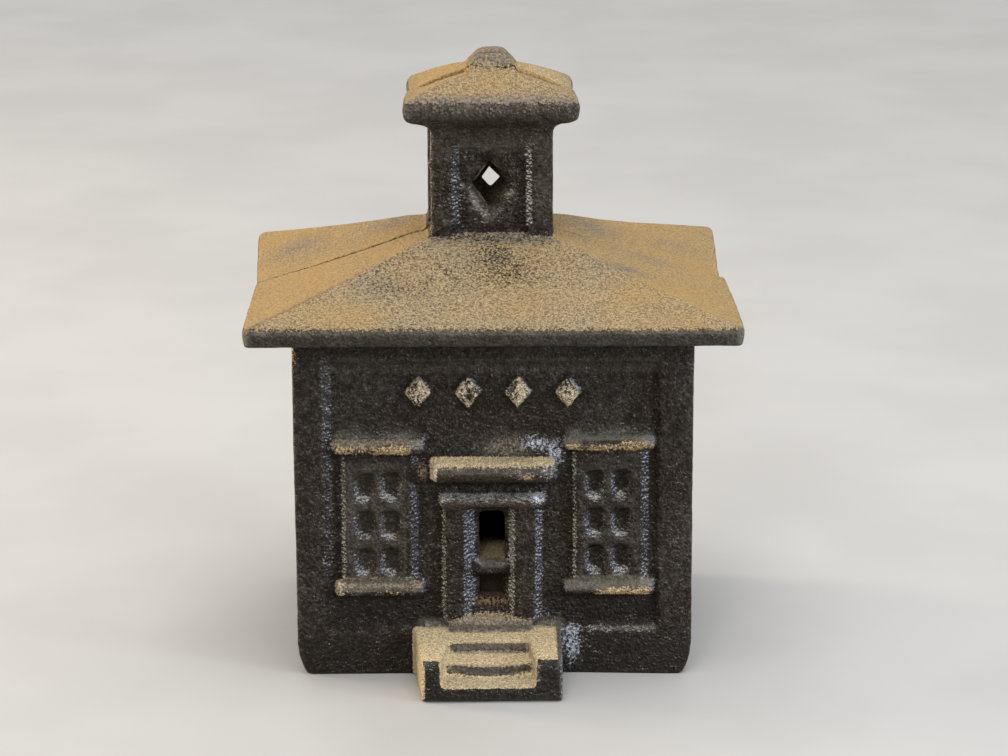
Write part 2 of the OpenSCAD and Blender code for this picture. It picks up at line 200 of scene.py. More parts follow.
def warp(p):
    """The castings' own unevenness, the same field for both, so they still meet."""
    q = p.copy()
    x, y, z = p[:, 0], p[:, 1], p[:, 2]
    # the seam runs a little askew
    q[:, 1] += 0.025 * x * (1 - ss(2, 26, np.abs(y - SEAM_Y)))
    # right wall a little fuller, its lower front corner forward
    q[:, 0] += ss(27, 31, x) * ss(60, 56, z) * (0.2 + 0.3 * ss(50, 5, z))
    q[:, 0] += 0.2 * ss(34, 40, x) * ss(57, 60, z)
    q[:, 1] -= 0.9 * ss(10, 31, x) * ss(22, 1, z) * ss(-12, -22, y)
    # roof's rear right corner lifts
    q[:, 2] += 0.65 * ss(12, 38, x) * ss(6, 28, y) * ss(57, 59, z)
    # finial a little off and worn
    r2 = ((x - 0.1) / 3.0) ** 2 + ((y + 0.2) / 2.6) ** 2
    q[:, 0] += 0.1 * ss(97.5, 99, z)
    q[:, 2] -= ss(98.6, 101.2, z) * (0.02 + 0.2 * r2)
    # cap's lower corners hang a little
    q[:, 2] -= 0.35 * ss(11.2, 13.2, np.abs(x)) * ss(-6.0, -9.0, y) * band(z, 90.3, 92.0, 0.5)
    # hood's front face rounded, its lower half turned down
    hood = ss(-24.0, -26.2, y) * ss(11.5, 10.8, np.abs(x)) * band(z, 33.3, 38.2, 0.3)
    q[:, 1] += hood * (0.6 * ss(35.6, 33.8, z) + 0.5 * ss(35.7, 37.3, z))
    q[:, 0] += 0.4 * ss(-8.6, -10.3, x) * ss(-24.4, -25.0, y) * band(z, 33.3, 38.3, 0.3) * ss(-12, -11, x)
    # cupola's left side
    q[:, 0] += 0.25 * ss(-7.5, -9.5, x) * band(z, 73, 89, 1.5)
    # slow unevenness of hand-finished patterns
    for k in range(3):
        q[:, k] += (0.1, 0.06, 0.09)[k] * vnoise(p, 17.0, 11 + k) * ss(0.0, 3.0, z)
    return q


def soften(ob, weight, rounds):
    """Extra smoothing where weight is above 0."""
    g = ob.vertex_groups.new(name="soften")
    for k in range(1, 9):
        pick = np.nonzero((weight > (k - 1) / 8) & (weight <= k / 8))[0]
        if len(pick):
            g.add(pick.tolist(), k / 8, "REPLACE")
    m = ob.modifiers.new("soften", "SMOOTH")
    m.factor, m.iterations, m.vertex_group = 0.5, rounds, "soften"
    applied(ob)
    ob.vertex_groups.clear()


def cast(node, name, material, front):
    voxel = 0.00029
    ob = skin(node, name, voxel, 9)
    p = read(ob.data) * 1000
    face = ss(21.8, 22.4, np.abs(p[:, 1]))
    panes = face * band(np.abs(p[:, 0]), 14.2, 24.6, 0.7) * band(p[:, 2], 17.2, 37.6, 0.8)
    soften(ob, np.maximum(panes, 0.25 * face * (np.abs(p[:, 1]) > 24.9) * (p[:, 2] > 13)), 26)
    me = ob.data
    p = read(me) * 1000
    n = read(me, "n")
    ins = inner(p)
    x, y, z = p[:, 0], p[:, 1], p[:, 2]
    q = warp(p)
    # faces that meet at the seam, and the floor it stands on, stay true
    at_seam = ss(0.9, 0.15, np.abs(y - SEAM_Y)) * (np.abs(n[:, 1]) > 0.6)
    keep = 1 - np.maximum(at_seam, ss(0.25, 0.05, z) * (n[:, 2] < -0.5))
    # pebbled skin of the sand mould: lumps, pits and grains
    lump = fbm(p, 3.6, 31, 2)
    grain = vnoise(p, 1.15, 41) + 0.6 * vnoise(p, 0.8, 42)
    pits = np.minimum(0, vnoise(p, 1.5, 51) + 0.45)
    up = ss(0.2, 0.8, n[:, 2])
    rough = 1 + 0.9 * ins - 0.35 * up * ss(59, 62, z)
    h = keep * rough * (0.042 * lump + 0.026 * grain + 0.07 * pits)
    q += n * h[:, None]
    if front:
        # web of iron between the left window and the hood
        w = blob(p, (-11.6, -23.6, 35.3), (1.15, 1.6, 1.7)) * (n[:, 1] < 0)
        q[:, 1] -= 1.35 * w
        # lumps above the hood's right part and right of the steps
        w = blob(p, (5.5, -23.6, 38.9), (4.5, 2.0, 1.3)) + blob(p, (13.2, -24.2, 5.4), (1.2, 3.0, 3.0))
        q[:, 1] -= w * (n[:, 1] < -0.3) * (0.28 + 0.3 * vnoise(p, 1.3, 61))
        # cap's side slopes lie lower in front of the seam
        q[:, 2] -= 0.6 * ss(-7.0, -2.6, y) * ss(0.2, 0.5, n[:, 2]) * ss(94.2, 95.2, z) * ss(99.2, 98.2, z) * ss(13.7, 9.8, np.abs(x)) * ss(3.4, 4.6, np.abs(x))
        # nub on the cupola's left edge
        q[:, 0] -= 0.45 * blob(p, (-10.4, -7.0, 83.3), (0.9, 1.6, 0.55))
    else:
        q[:, 1] += 0.3 * blob(p, (-9.0, 24.0, 30.0), (2.0, 2.0, 2.6)) * (n[:, 1] > 0.3)
    write(me, q / 1000)

    # fewer faces inside and on plain places
    g = ob.vertex_groups.new(name="detail")
    faceted = np.maximum(0.0, 0.25 - 0.25 * ins) + 0.75 * (1 - ins) * ss(0.004, 0.02, np.abs(curvature(me, p, n)))
    if front:
        faceted = np.maximum(faceted, (1 - ins) * ss(-22.5, -23.2, y) * 0.8)
    for k in range(8):
        pick = np.nonzero((faceted >= k / 8) & (faceted < (k + 1.001) / 8))[0]
        if len(pick):
            g.add(pick.tolist(), (k + 0.5) / 8, "REPLACE")
    count = sum(len(f.vertices) - 2 for f in me.polygons)
    m = ob.modifiers.new("fewer", "DECIMATE")
    m.decimate_type, m.ratio = "COLLAPSE", min(1.0, 196000 / count)
    m.use_collapse_triangulate = True
    m.vertex_group, m.vertex_group_factor, m.invert_vertex_group = "detail", 3.0, True
    applied(ob)
    ob.vertex_groups.clear()
    me = ob.data
    me.name = name
    smooth_shade(me)
    paint(me, front)
    me.materials.append(material)
    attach(ob, "front" if front else "rear")
    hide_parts(node)
    return ob


def paint(me, front):
    """Where the old finish is dusted with tan, rubbed to gold, greyed or scuffed."""
    p = read(me) * 1000
    n = read(me, "n")
    x, y, z = p[:, 0], p[:, 1], p[:, 2]
    nx, ny, nz = n[:, 0], n[:, 1], n[:, 2]
    ax, ay = np.abs(x), np.abs(y)
    ins = inner(p)
    out = 1 - ins
    curve = curvature(me, p, n)
    zero = np.zeros(len(p))
    top = ss(0.3, 0.75, nz)

    roof = out * ss(59.6, 60.8, z) * ss(75.0, 72.6, z)
    cap = out * ss(91.0, 92.0, z)
    finial = out * ss(98.2, 99.8, z) * ss(1.25, 0.85, np.hypot(x / 4.6, y / 4.6) + 0.08 * fbm(p, 1.8, 83, 2))
    side = ss(0.12, 0.25, np.abs(nx)) * roof * top
    slope_f = roof * top * ss(-0.15, -0.28, ny)
    slope_r = roof * top * ss(0.15, 0.28, ny)

    dust = zero.copy()
    grey = zero.copy()
    ochre = zero.copy()
    gold = zero.copy()
    scuff_and_glint = zero.copy()
    brown = zero.copy()
    cream = zero.copy()
    cool_highlight = zero.copy()
    warm_highlight = zero.copy()
    shade = zero.copy()
    film_and_light = zero.copy()

    # roof
    cover = 0.93 * np.ones(len(p))
    cover = cover - 0.2 * slope_f - 0.08 * slope_r
    cover = cover + slope_f * (0.12 * ss(66.5, 62.5, z) + 0.05 * ss(6, 22, x))
    cover = cover - slope_f * (0.16 * blob(p, (-0.3, -12.4, 0), (2.8, 2.4, 0)) + 0.1 * blob(p, (-7, -15.5, 0), (9, 5, 0))
                               + 0.1 * blob(p, (-18, -21, 0), (6, 3.4, 0)) + 0.1 * blob(p, (4.5, -15.5, 0), (4.5, 4.5, 0))
                               + 0.06 * blob(p, (2, -19, 0), (7, 2.5, 0)))
    cover = cover - 0.42 * ss(-29.9, -31.5, y) * slope_f - 0.12 * ss(38.2, 40.2, ax)
    cover = cover - 0.08 * slope_f * ss(-10.2, -8.6, y) * ss(11.0, 9.5, ax)
    grey = grey + 0.8 * slope_f * ss(-10.6, -8.8, y) * ss(11.5, 9.5, ax)
    cover = cover + 0.1 * fbm(p, 9.0, 71, 2)
    dust = np.maximum(dust, roof * top * cover)
    ochre = np.maximum(ochre, roof * (0.25 + 0.6 * side + 0.2 * fbm(p, 12.0, 75, 2)))
    ochre += 0.35 * slope_f * blob(p, (23, -22, 0), (5, 4, 0)) + 0.3 * slope_f * blob(p, (-22, -27, 0), (8, 3, 0))
    for cx, cy, rx, ry, a in ((-32.5, 13, 4.5, 6, 0.75), (-28, 5.0, 3.5, 3.5, 0.3), (-17, 8.5, 5, 5, 0.6), (22.5, -14.5, 3.6, 2.6, 0.85),
                              (27, -2.5, 5, 3.5, 0.5), (17, 8, 6, 6, 0.75), (31, 12, 5, 6, 0.35), (14.5, -2.5, 3.0, 2.2, 0.35),
                              (-19, -20.5, 4.5, 2.6, 0.45), (-3, -13, 7, 3, 0.35), (8, 18, 9, 5, 0.4)):
        grey += a * roof * blob(p, (cx, cy, 0), (rx, ry, 0))

    # a thin brown line along the front left hip
    hip = (ROOF_X - 0.8 - ax) / (ROOF_X - CUP_X - 1.7) - (ROOF_Y - 0.8 - ay) / (ROOF_Y - CUP_Y - 1.7)
    hip = np.abs(hip) / np.hypot(1 / (ROOF_X - CUP_X - 1.7), 1 / (ROOF_Y - CUP_Y - 1.7))
    hip = ss(0.5, 0.12, hip) * roof * top * (x < 0) * (y < 0) * ss(-17.0, -30.0, x)
    brown = np.maximum(brown, 0.55 * hip)

    # cap and finial
    dust = np.maximum(dust, cap * top * (1.0 + 0.12 * fbm(p, 5.0, 81, 2)))
    ochre = np.maximum(ochre, cap * (0.5 + 0.5 * ss(0.2, 0.35, np.abs(nx)) * ss(0.1, -0.1, nx)))
    rim = ss(14.6 - 2.2, 14.6 - 0.7, ax) + ss(10.7 - 2.4, 10.7 - 0.6, ay)
    dust = dust - 0.16 * cap * np.clip(rim, 0, 1) * ss(96.5, 95.0, z) * (1 - 0.5 * ss(0.2, 0.35, np.abs(nx)))
    grey = grey + 0.9 * cap * ss(96.0, 94.5, z) * (1 - 0.6 * ss(0.2, 0.35, np.abs(nx)))
    dust = np.maximum(dust, cap * ss(0.6, 0.1, nz) * ss(-0.5, -0.1, nz) * (0.3 + 0.08 * ss(92.6, 94.2, z)))
    grey = np.maximum(grey, cap * ss(0.5, 0.2, nz))
    dust = np.maximum(dust, finial * (0.98 + 0.12 * ss(-2.4, -0.4, x)))
    grey = grey + finial * (1.0 - 0.15 * ss(-2.4, -0.4, x)) + 0.3 * cap * ss(-8.2, -9.4, y) * ss(97.5, 98.6, z) * ss(3.6, 3.0, ax)
    askew = y - SEAM_Y - 0.025 * x
    seam = out * ss(0.5, 0.1, np.abs(askew)) * np.maximum(roof, cap) * ss(0.3, 0.6, nz)
    dust = dust * (1 - 0.06 * seam)
    brown = np.maximum(brown, 0.42 * seam)
    step = cap * ss(0.65, 0.3, np.abs(askew)) * ss(94.0, 94.7, z) * ss(3.2, 4.2, ax) * ss(0.95, 0.7, nz)
    dust = np.maximum(dust, 0.95 * step)
    ochre = np.maximum(ochre, step)
    brown = np.maximum(brown * (1 - step), 0.3 * step * ss(0, -3, x))
    grey = grey * (1 - step)
    cream = np.maximum(cream, 0.3 * cap * top * ss(1.0, 8.0, x) * ss(0.2, 0.6, askew) * ss(10.5, 4.0, y))
    # thin film on the eaves' and the cap's rounded upper edge
    film_and_light = np.maximum(film_and_light, 0.5 * out * band(z, 61.0, 62.6, 0.7) * ss(0.93, 0.5, nz) * ss(-0.3, 0.2, nz))
    film_and_light = np.maximum(film_and_light, 0.5 * out * band(z, 94.0, 95.0, 0.9) * ss(0.75, 0.3, nz))
    film_and_light = np.maximum(film_and_light, 0.15 * out * band(z, 58.9, 61.4, 0.4) * np.maximum(ss(30.2, 30.9, ay), ss(38.8, 39.8, ax)))
    film_and_light = np.maximum(film_and_light, 0.2 * out * band(z, 91.0, 94.6, 0.5) * ss(0.6, 0.3, nz))
    # painted highlights on the eave's front corners, with grey and tan dust
    film_and_light = np.maximum(film_and_light, 0.95 * out * ss(38.7, 39.9, ax) * ss(-29.0, -30.2, y) * band(z, 58.9, 62.0, 0.3))
    grey = np.maximum(grey, out * ss(38.9, 40.0, ax) * ss(-29.6, -30.6, y) * band(z, 58.7, 62.0, 0.3))
    dust = np.maximum(dust, np.where(x < 0, 0.46, 0.3) * out * ss(38.7, 39.9, ax) * ss(-29.0, -30.2, y) * band(z, 58.9, 62.0, 0.3))
    # painted shade under the eaves and the cap; painted light on the cupola's upper part under the cap, along its
    # panel's shaded top edge, on its right strip and on the wall panel's down-facing top bevel
    shade = np.maximum(shade, 0.14 * out * band(z, 55.5, 59.5, 0.8) * ss(36, 34, ax))
    shade = np.maximum(shade, 0.3 * out * band(z, 90.2, 91.0, 0.5))
    film_and_light = np.maximum(film_and_light, 0.14 * out * band(z, 85.5, 90.0, 0.8))
    film_and_light = np.maximum(film_and_light, 0.6 * out * band(z, 85.0, 86.8, 0.3) * ss(-6.4, -6.8, y) * ss(-0.1, -0.5, nz))
    film_and_light = np.maximum(film_and_light, 0.16 * out * band(z, 74.0, 90.0, 0.8) * band(x, 7.4, 9.6, 0.4) * ss(-7.0, -7.4, y))
    film_and_light = np.maximum(film_and_light, 0.14 * out * band(z, 52.6, 54.4, 0.7) * ss(-23.0, -23.5, y) * ss(29, 27, ax))

    # whatever else looks up: ledges, hood, borders, panes
    front_face = out * ss(-22.6, -23.3, y) * ss(59, 57, z)
    rear_face = out * ss(22.6, 23.3, y) * ss(59, 57, z)
    along = np.maximum(band(x, -26.3, -11.5, 0.15), band(x, 11.7, 26.7, 0.15))
    ledge = (front_face + rear_face) * along * (band(z, 40.0, 42.3, 0.4) + band(z, 15.4, 17.3, 0.4)) * ss(24.3, 24.8, ay)
    amount = np.where(x < 0, 0.68, 0.4) - 0.06 * (z < 20) - 0.3 * band(x, 14.6, 21.0, 1.5) * (z > 30)
    dust = np.maximum(dust, ledge * (ss(0.3, 0.75, nz) * amount + ss(0.5, 0.1, nz) * (amount - 0.06) + 0.06 * fbm(p, 3.0, 85, 2)))
    grey += ledge * (0.45 + 0.15 * ss(0.3, 0.8, nz) + 0.6 * (x > 0))
    film_and_light = np.maximum(film_and_light, ledge * (0.6 + 0.4 * ss(0.3, 0.8, nz)))
    haze = (front_face + rear_face) * band(ax, 13.0, 25.2, 1.6) * ss(43.8, 40.9, z) * ss(39.8, 40.6, z)
    film_and_light = np.maximum(film_and_light, haze * (0.5 + 0.12 * (x > 0) + 0.3 * fbm(p, 2.2, 107, 2)))
    # painted cool highlight specks in the haze
    cool_highlight = np.maximum(cool_highlight, 0.2 * haze)
    # painted shade of a groove along the right window's lintel
    groove_shade = front_face * band(x, 15.4, 21.4, 1.8) * band(z, 40.45, 41.0, 0.3)
    film_and_light = film_and_light * (1 - 0.8 * groove_shade)
    dust = dust * (1 - 0.7 * groove_shade)
    cool_highlight = cool_highlight * (1 - groove_shade)
    shade = np.maximum(shade, 0.9 * groove_shade)
    # painted cool highlights at the right ends of the left lintel and of the right window's lintel and sill
    cool_highlight = np.maximum(cool_highlight, 0.45 * front_face * ss(24.3, 24.8, ay) * (band(x, -14.2, -11.0, 0.8) * band(z, 39.0, 42.6, 0.5) + band(x, 24.6, 27.0, 0.5) * (band(z, 39.6, 42.6, 0.5) + band(z, 14.0, 17.4, 0.5))))
    hood = front_face * band(x, -11.2, 11.2, 0.3) * band(z, 36.2, 38.6, 0.3)
    dust = np.maximum(dust, hood * ss(0.42, 0.97, nz) * (1.2 - 0.2 * ss(-25.0, -23.9, y) - 0.2 * ss(2, 9, x)))
    cream = np.maximum(cream, hood * ss(0.3, 0.7, nz) * 0.98)
    ochre = np.maximum(ochre, hood * ss(0.3, 0.7, nz))
    hood_front = front_face * band(x, -10.8, 10.8, 0.3) * band(z, 33.4, 37.8, 0.4) * ss(-25.4, -26.0, y)
    dust = np.maximum(dust, hood_front * ss(34.6, 37.0, z) * 0.33)
    film_and_light = np.maximum(film_and_light, hood_front * ss(34.8, 36.8, z) * 0.62)
    grey = np.maximum(grey, hood_front * ss(0.75, 0.4, nz) * 0.9)
    brown = np.maximum(brown, hood_front * ss(36.2, 34.9, z))
    lintel = front_face * band(x, -9.2, 9.0, 0.3) * band(z, 29.4, 32.6, 0.3) * ss(-24.2, -24.6, y)
    # painted cool highlight on the door's second lintel, strongest at its ends
    cool_highlight = np.maximum(cool_highlight, lintel * (0.26 + 0.3 * ss(5.5, 7.4, x) + 0.2 * ss(-6.8, -8.2, x)) * ss(29.9, 30.9, z))
    dust = np.maximum(dust, lintel * 0.2)
    film_and_light = np.maximum(film_and_light, lintel * 0.2)
    grey = np.maximum(grey, lintel)
    brown = np.maximum(brown, lintel * ss(30.7, 29.9, z))
    # painted shade under the hood, above the door's second lintel
    shade = np.maximum(shade, 0.55 * front_face * band(x, -9.5, 9.5, 0.5) * band(z, 32.6, 33.8, 0.3))
    # bevel of the diamond opening: painted highlights on its lower limbs, cool on the left limb and warm on the right,
    # and its lower part pale
    side_v = np.abs(x + 0.285) / 4.45 + np.abs(z - 79.8) / 7.6
    throat = out * (ny < 0.3) * band(y, -7.6, -5.8, 0.2) * ss(0.4, 0.5, side_v)
    dia = throat * band(side_v, 0.91, np.where(x < 0, 0.99, 0.975), 0.04) * ss(80.2, 79.2, z) * ss(73.6, 74.0, z)
    cool_highlight = np.maximum(cool_highlight, dia * ss(0.3, -0.6, x) * 0.74)
    warm_highlight = np.maximum(warm_highlight, dia * ss(-0.6, 0.3, x) * 0.8)
    film_and_light = np.maximum(film_and_light, dia)
    lower = throat * ss(0.95, 0.85, side_v) * ss(80.0, 78.6, z)
    film_and_light = np.maximum(film_and_light, lower * (0.16 + 0.2 * ss(76.4, 75.2, z)))
    dust = np.maximum(dust, (front_face + rear_face) * ss(0.5, 0.8, nz) * band(z, 6.5, 10.5, 0.5) * (0.2 + 0.06 * fbm(p, 4.0, 91, 2)))

    if front:
        steps = out * ss(-24.3, -24.7, y) * ss(9.1, 8.7, z)
        between = band(x, -9.4, 7.6, 0.25)
        dust = np.maximum(dust, steps * ss(0.3, 0.72, nz) * (0.95 + 0.1 * fbm(p, 4.0, 95, 2)))
        inset = band(x, -8.6, 6.9, 0.4) * (y > -37.4) * (z > 3.2)
        dust = np.maximum(dust, steps * inset * ss(0.72, 0.3, nz) * (0.86 - 0.5 * ss(0.3, 0.1, np.abs(nx))))
        film_and_light = np.maximum(film_and_light, steps * inset * ss(0.72, 0.3, nz) * 0.85)
        film_and_light = np.maximum(film_and_light, 0.35 * steps * ss(0.72, 0.3, nz) * ss(-37.9, -37.3, y) * band(x, -12.6, 11.9, 0.1) * ss(-25.6, -26.4, y))
        # the risers stay dark, feathered into the treads
        bow = 0.006 * (x + 0.75) ** 2
        dark_riser = np.maximum.reduce([
            band(x, -6.2, 5.0, 1.6) * band(z, 6.4, 6.75, 0.85) * ss(-28.7, -29.4, y) * ss(-31.2, -30.2, y),
            band(x, -6.0, 4.9, 2.4) * band(z, 4.4 + 0.8 * bow, 4.7 + 0.8 * bow, 0.75) * ss(-33.3, -34.2, y) * ss(-36.6, -35.8, y),
            band(x, -6.9, 6.0, 1.2) * band(z, 8.3, 9.3, 0.5) * ss(-25.0, -25.5, y) * ss(-26.5, -25.9, y)])
        dark_riser = np.clip(dark_riser, 0, 1)
        dust = dust * (1 - (0.42 + 0.24 * (z < 5.4)) * dark_riser)
        film_and_light = film_and_light * (1 - 0.45 * (z < 5.4) * dark_riser)
        grey = np.maximum(grey, 1.0 * ss(0.0, 0.5, dark_riser))
        grey += 0.4 * steps * band(z, 1.9, 3.4, 0.3) * band(x, -8.6, 6.9, 0.4) * ss(0.4, 0.7, nz)
        # the right cheek's outer edge and the corners beside the threshold are greyed
        worn = steps * ss(10.2, 10.6, x) * ss(0.2, 0.5, nz)
        dust = dust * (1 - 0.7 * worn)
        grey = np.maximum(grey, worn)
        film_and_light = np.maximum(film_and_light, 0.7 * worn)
        beside = out * band(y, -25.2, -23.0, 0.2) * np.maximum(band(x, -11.0, -6.8, 1.0), band(x, 5.9, 10.4, 1.0)) * ss(8.1, 8.5, z) * ss(10.0, 8.7, z)
        dust = np.maximum(dust, 0.5 * beside)
        grey = np.maximum(grey, 0.6 * beside)
        film_and_light = np.maximum(film_and_light, 0.8 * beside)
        # the cheeks' front ends are bare a little way over their top edge
        bare_end = steps * (ss(-8.6, -8.9, x) + ss(6.75, 7.05, x)) * ss(2.2, 2.8, z) * ss(-36.2, -37.0, y + 0.25 * fbm(p, 2.0, 96, 2))
        dust = dust * (1 - bare_end)
        # arched dusting of the threshold
        hump = np.clip(1 - ((x + 0.6) / 7.4) ** 2, 0, 1)
        arch = out * (y < -22.4) * ss(10.3 + 1.5 * hump, 8.9 + 0.8 * hump, z) * ss(8.9, 9.2, z) * band(x, -7.6, 6.6, 0.9)
        dust = np.maximum(dust, arch * (0.74 + 0.25 * hump + 0.08 * fbm(p, 3.0, 93, 2)))
        film_and_light = np.maximum(film_and_light, 0.42 * front_face * (np.maximum(band(x, -12.0, -7.6, 0.8), band(x, 6.6, 11.4, 0.8))) * band(z, 8.0, 9.3, 0.7))
        front_thr = out * band(x, -7.4, 6.4, 0.8) * band(z, 7.9, 9.4, 0.3) * ss(-25.0, -25.4, y) * ss(-26.6, -26.0, y)
        dust = np.maximum(dust, front_thr * 0.3)
        film_and_light = np.maximum(film_and_light, front_thr * 0.8)
        grey = np.maximum(grey, front_thr)
        # painted shade on the steps' front faces
        shade = np.maximum(shade, (0.8 + 0.3 * (x < -8)) * out * ss(-36.6, -37.3, y) * (z < 7.2))
        # painted cool highlights on the front edges of the steps' cheeks
        cool_highlight = np.maximum(cool_highlight, 0.45 * steps * ss(-35.6, -36.6, y) * band(z, 3.6, 6.3, 0.5) * (band(x, -8.9, -8.3, 0.2) + band(x, 6.5, 7.3, 0.3) + band(x, 11.0, 12.2, 0.2)))
        # painted shade on the steps' sides
        shade = np.maximum(shade, out * ss(-24.2, -24.6, y) * ss(-36, -35, y) * ss(11.2, 11.9, ax) * (z < 8.5) * 0.3)
        grey += 0.3 * out * band(z, 9.0, 11.2, 0.3) * ss(-22.6, -23.0, y) * band(x, -8.6, 7.6, 0.4)
        cream = np.maximum(cream, steps)
        left_side = steps * ss(-0.4, -0.8, nx) * ss(-10.8, -11.6, x)
        dust = np.maximum(dust, left_side * (1.16 - 0.3 * ss(2.0, 0.3, z)))
        right_side = steps * ss(0.4, 0.8, nx) * ss(10.4, 11.0, x)
        # painted cool highlight on the steps' right side
        cool_highlight = np.maximum(cool_highlight, right_side * (0.22 + 0.3 * ss(-33.0, -36.0, y)))
        cheeks = steps * ss(0.35, 0.7, np.abs(nx)) * between * (z > 2.0) * (y > -37.6)
        dust = np.maximum(dust, cheeks * 0.9)
        # dust that blew through the door onto the block behind it, its sill and lip
        door = (ax < 3.2) * band(y, -24.9, -20.6, 0.2)
        dust = np.maximum(dust, door * band(z, 11.9, 12.9, 0.3) * ss(-22.0, -22.5, y) * 0.55)
        brown = np.maximum(brown, door * band(z, 11.3, 13.2, 0.2))
        dust = np.maximum(dust, door * ss(0.2, 0.6, nz) * band(z, 18.6, 20.0, 0.3) * 0.36)
        film_and_light = np.maximum(film_and_light, door * ss(0.1, 0.5, nz) * band(z, 18.5, 20.0, 0.3) * 0.75)
        grey = np.maximum(grey, door * band(z, 17.4, 20.0, 0.3) * 0.7)
        # painted shade on the rail below the door's lip and inside the lower opening
        shade = np.maximum(shade, door * band(z, 16.6, 18.3, 0.3))
        shade = np.maximum(shade, ins * (ax < 5) * (y < -12) * ss(18.6, 17.6, z) * 1.1)
        block_top = ins * (ax < 4.2) * ss(0.5, 0.8, nz) * band(z, 19.0, 20.4, 0.3) * ss(-10.0, -13.0, y)
        dust = np.maximum(dust, 1.2 * block_top)
        cream = np.maximum(cream, block_top)
        grey = grey * (1 - block_top)

        # gold rubbed onto the edges
        def fleck(x0, x1, z0, z1, y0, a, s=0.35):
            return a * front_face * band(x, x0, x1, s) * band(z, z0, z1, s * 0.7) * ss(y0 + 0.7, y0, y)
        ragged = 0.16 * fbm(p, 1.6, 97, 2)
        rag2 = 1 + 0.5 * fbm(p, 2.4, 98, 2)
        gold = np.maximum(gold, fleck(-25.6, -14.2, 39.2, 40.0, -24.9, 0.62, 1.6) * rag2 + ragged * fleck(-26.4, -14.6, 39.0, 40.4, -24.9, 1.0, 1.2))
        gold = np.maximum(gold, fleck(-26.5, -25.6, 39.4, 41.2, -24.4, 0.42))
        gold = np.maximum(gold, fleck(12.4, 26.0, 39.5, 40.2, -24.9, 0.6, 1.2) * rag2)
        gold = np.maximum(gold, fleck(21.4, 24.8, 39.7, 40.7, -24.6, 0.66, 1.3))
        gold = np.maximum(gold, fleck(16.6, 25.4, 14.3, 15.3, -25.0, 0.68, 1.5) * rag2)
        gold = np.maximum(gold, fleck(-26.2, -24.8, 14.0, 16.9, -24.4, 0.6))
        gold = np.maximum(gold, fleck(-24.6, -13.0, 14.3, 15.3, -25.2, 0.36) * rag2)
        gold = np.maximum(gold, fleck(-10.25, -9.4, 34.4, 37.7, -24.4, 1.05, 0.2) * rag2)
        gold = np.maximum(gold, fleck(-9.8, 10.0, 36.7, 37.3, -25.8, 0.34, 0.8))
        gold = np.maximum(gold, 0.95 * front_face * blob(p, (5.5, -26.6, 35.0), (1.3, 2, 0.65)))
        gold = np.maximum(gold, 0.55 * front_face * blob(p, (3.6, -26.6, 35.6), (0.9, 2, 0.8)))
        gold = np.maximum(gold, fleck(-8.9, -8.1, 29.6, 31.4, -24.2, 0.5))
        cream = np.maximum(cream, fleck(-10.3, -9.3, 33.6, 38.2, -24.4, 1.0, 0.2) + fleck(-9.0, -8.0, 29.0, 32.4, -24.0, 1.0) + fleck(-26.6, -24.4, 13.8, 17.2, -24.0, 0.8))
        # painted highlights on the relief's edges, cool on its right sides and warm on its left
        relief = front_face * (ax < 29.3) * ss(9.0, 9.6, z)
        doorway = band(x, -8.8, 9.0, 0.2)
        cool_highlight = np.maximum(cool_highlight, relief * ss(0.30, 0.62, 0.95 * nx + 0.2 * nz) * ss(0.85, 0.6, nz) * (0.4 + 0.06 * doorway + 0.1 * fbm(p, 5.0, 103, 2)))
        warm_highlight = np.maximum(warm_highlight, relief * (x < 26.5) * ss(0.45, 0.8, -nx) * ss(0.8, 0.5, np.abs(nz)) * (0.66 + 0.14 * band(x, 2.6, 4.6, 0.3) - 0.1 * band(x, -9.0, -7.0, 0.3) + 0.3 * fbm(p, 4.0, 104, 2)))
        # painted shade under the lintels, above the panes
        shade = np.maximum(shade, 0.3 * front_face * band(x, -24.4, -14.2, 0.6) * band(z, 37.0, 39.2, 0.5))
        shade = np.maximum(shade, 0.3 * front_face * band(x, 13.4, 24.4, 0.6) * band(z, 37.0, 39.2, 0.5))
        # painted shade under the sills
        shade = np.maximum(shade, 0.85 * front_face * band(z, 9.0, 14.2, 1.5) * band(ax, 9.5, 27.0, 1.5))
        pane = front_face * band(ax, 14.6, 24.2, 0.5) * band(z, 17.6, 37.0, 0.5)
        warm_highlight = warm_highlight * (1 - 0.7 * pane * (nx < 0) * band(ax, 15.4, 23.6, 0.3))
        # painted highlights on the panes' up- and right-facing slopes
        cool_highlight = np.maximum(cool_highlight, pane * ss(0.10, 0.40, 0.36 * nx + 0.75 * nz) * 0.38)
        film_and_light = np.maximum(film_and_light, pane * np.where(x < 0, 0.15, 0.04))
        # painted shade on the panes' down-facing slopes
        shade = np.maximum(shade, pane * ss(0.1, 0.35, -nz) * 0.35)
        # painted light on the left window frame's left side
        film_and_light = np.maximum(film_and_light, 0.24 * front_face * band(x, -24.8, -23.4, 0.5) * band(z, 18, 37, 1))
        low = front_face * (ax < 31) * ss(8.6, 3.0, z) * ss(-24.2, -24.6, y)
        # faint painted cool highlight specks low on the front wall
        cool_highlight = np.maximum(cool_highlight, low * 0.08 * (1 + fbm(p, 6.0, 105, 2)) * ss(4.8, 7.0, z))
        # painted shade at the foot of the front wall beside the steps
        shade = np.maximum(shade, out * (y < -22) * (y > -26.0) * ss(8.0, 6.2, z) * ss(11.0, 12.4, ax) * (0.75 + 0.2 * ss(0, 12, x)))
        # a painted highlight along the border's top edge below the right window
        cool_highlight = np.maximum(cool_highlight, 0.24 * front_face * band(x, 12.8, 26.0, 0.8) * band(z, 7.5, 8.2, 0.35))
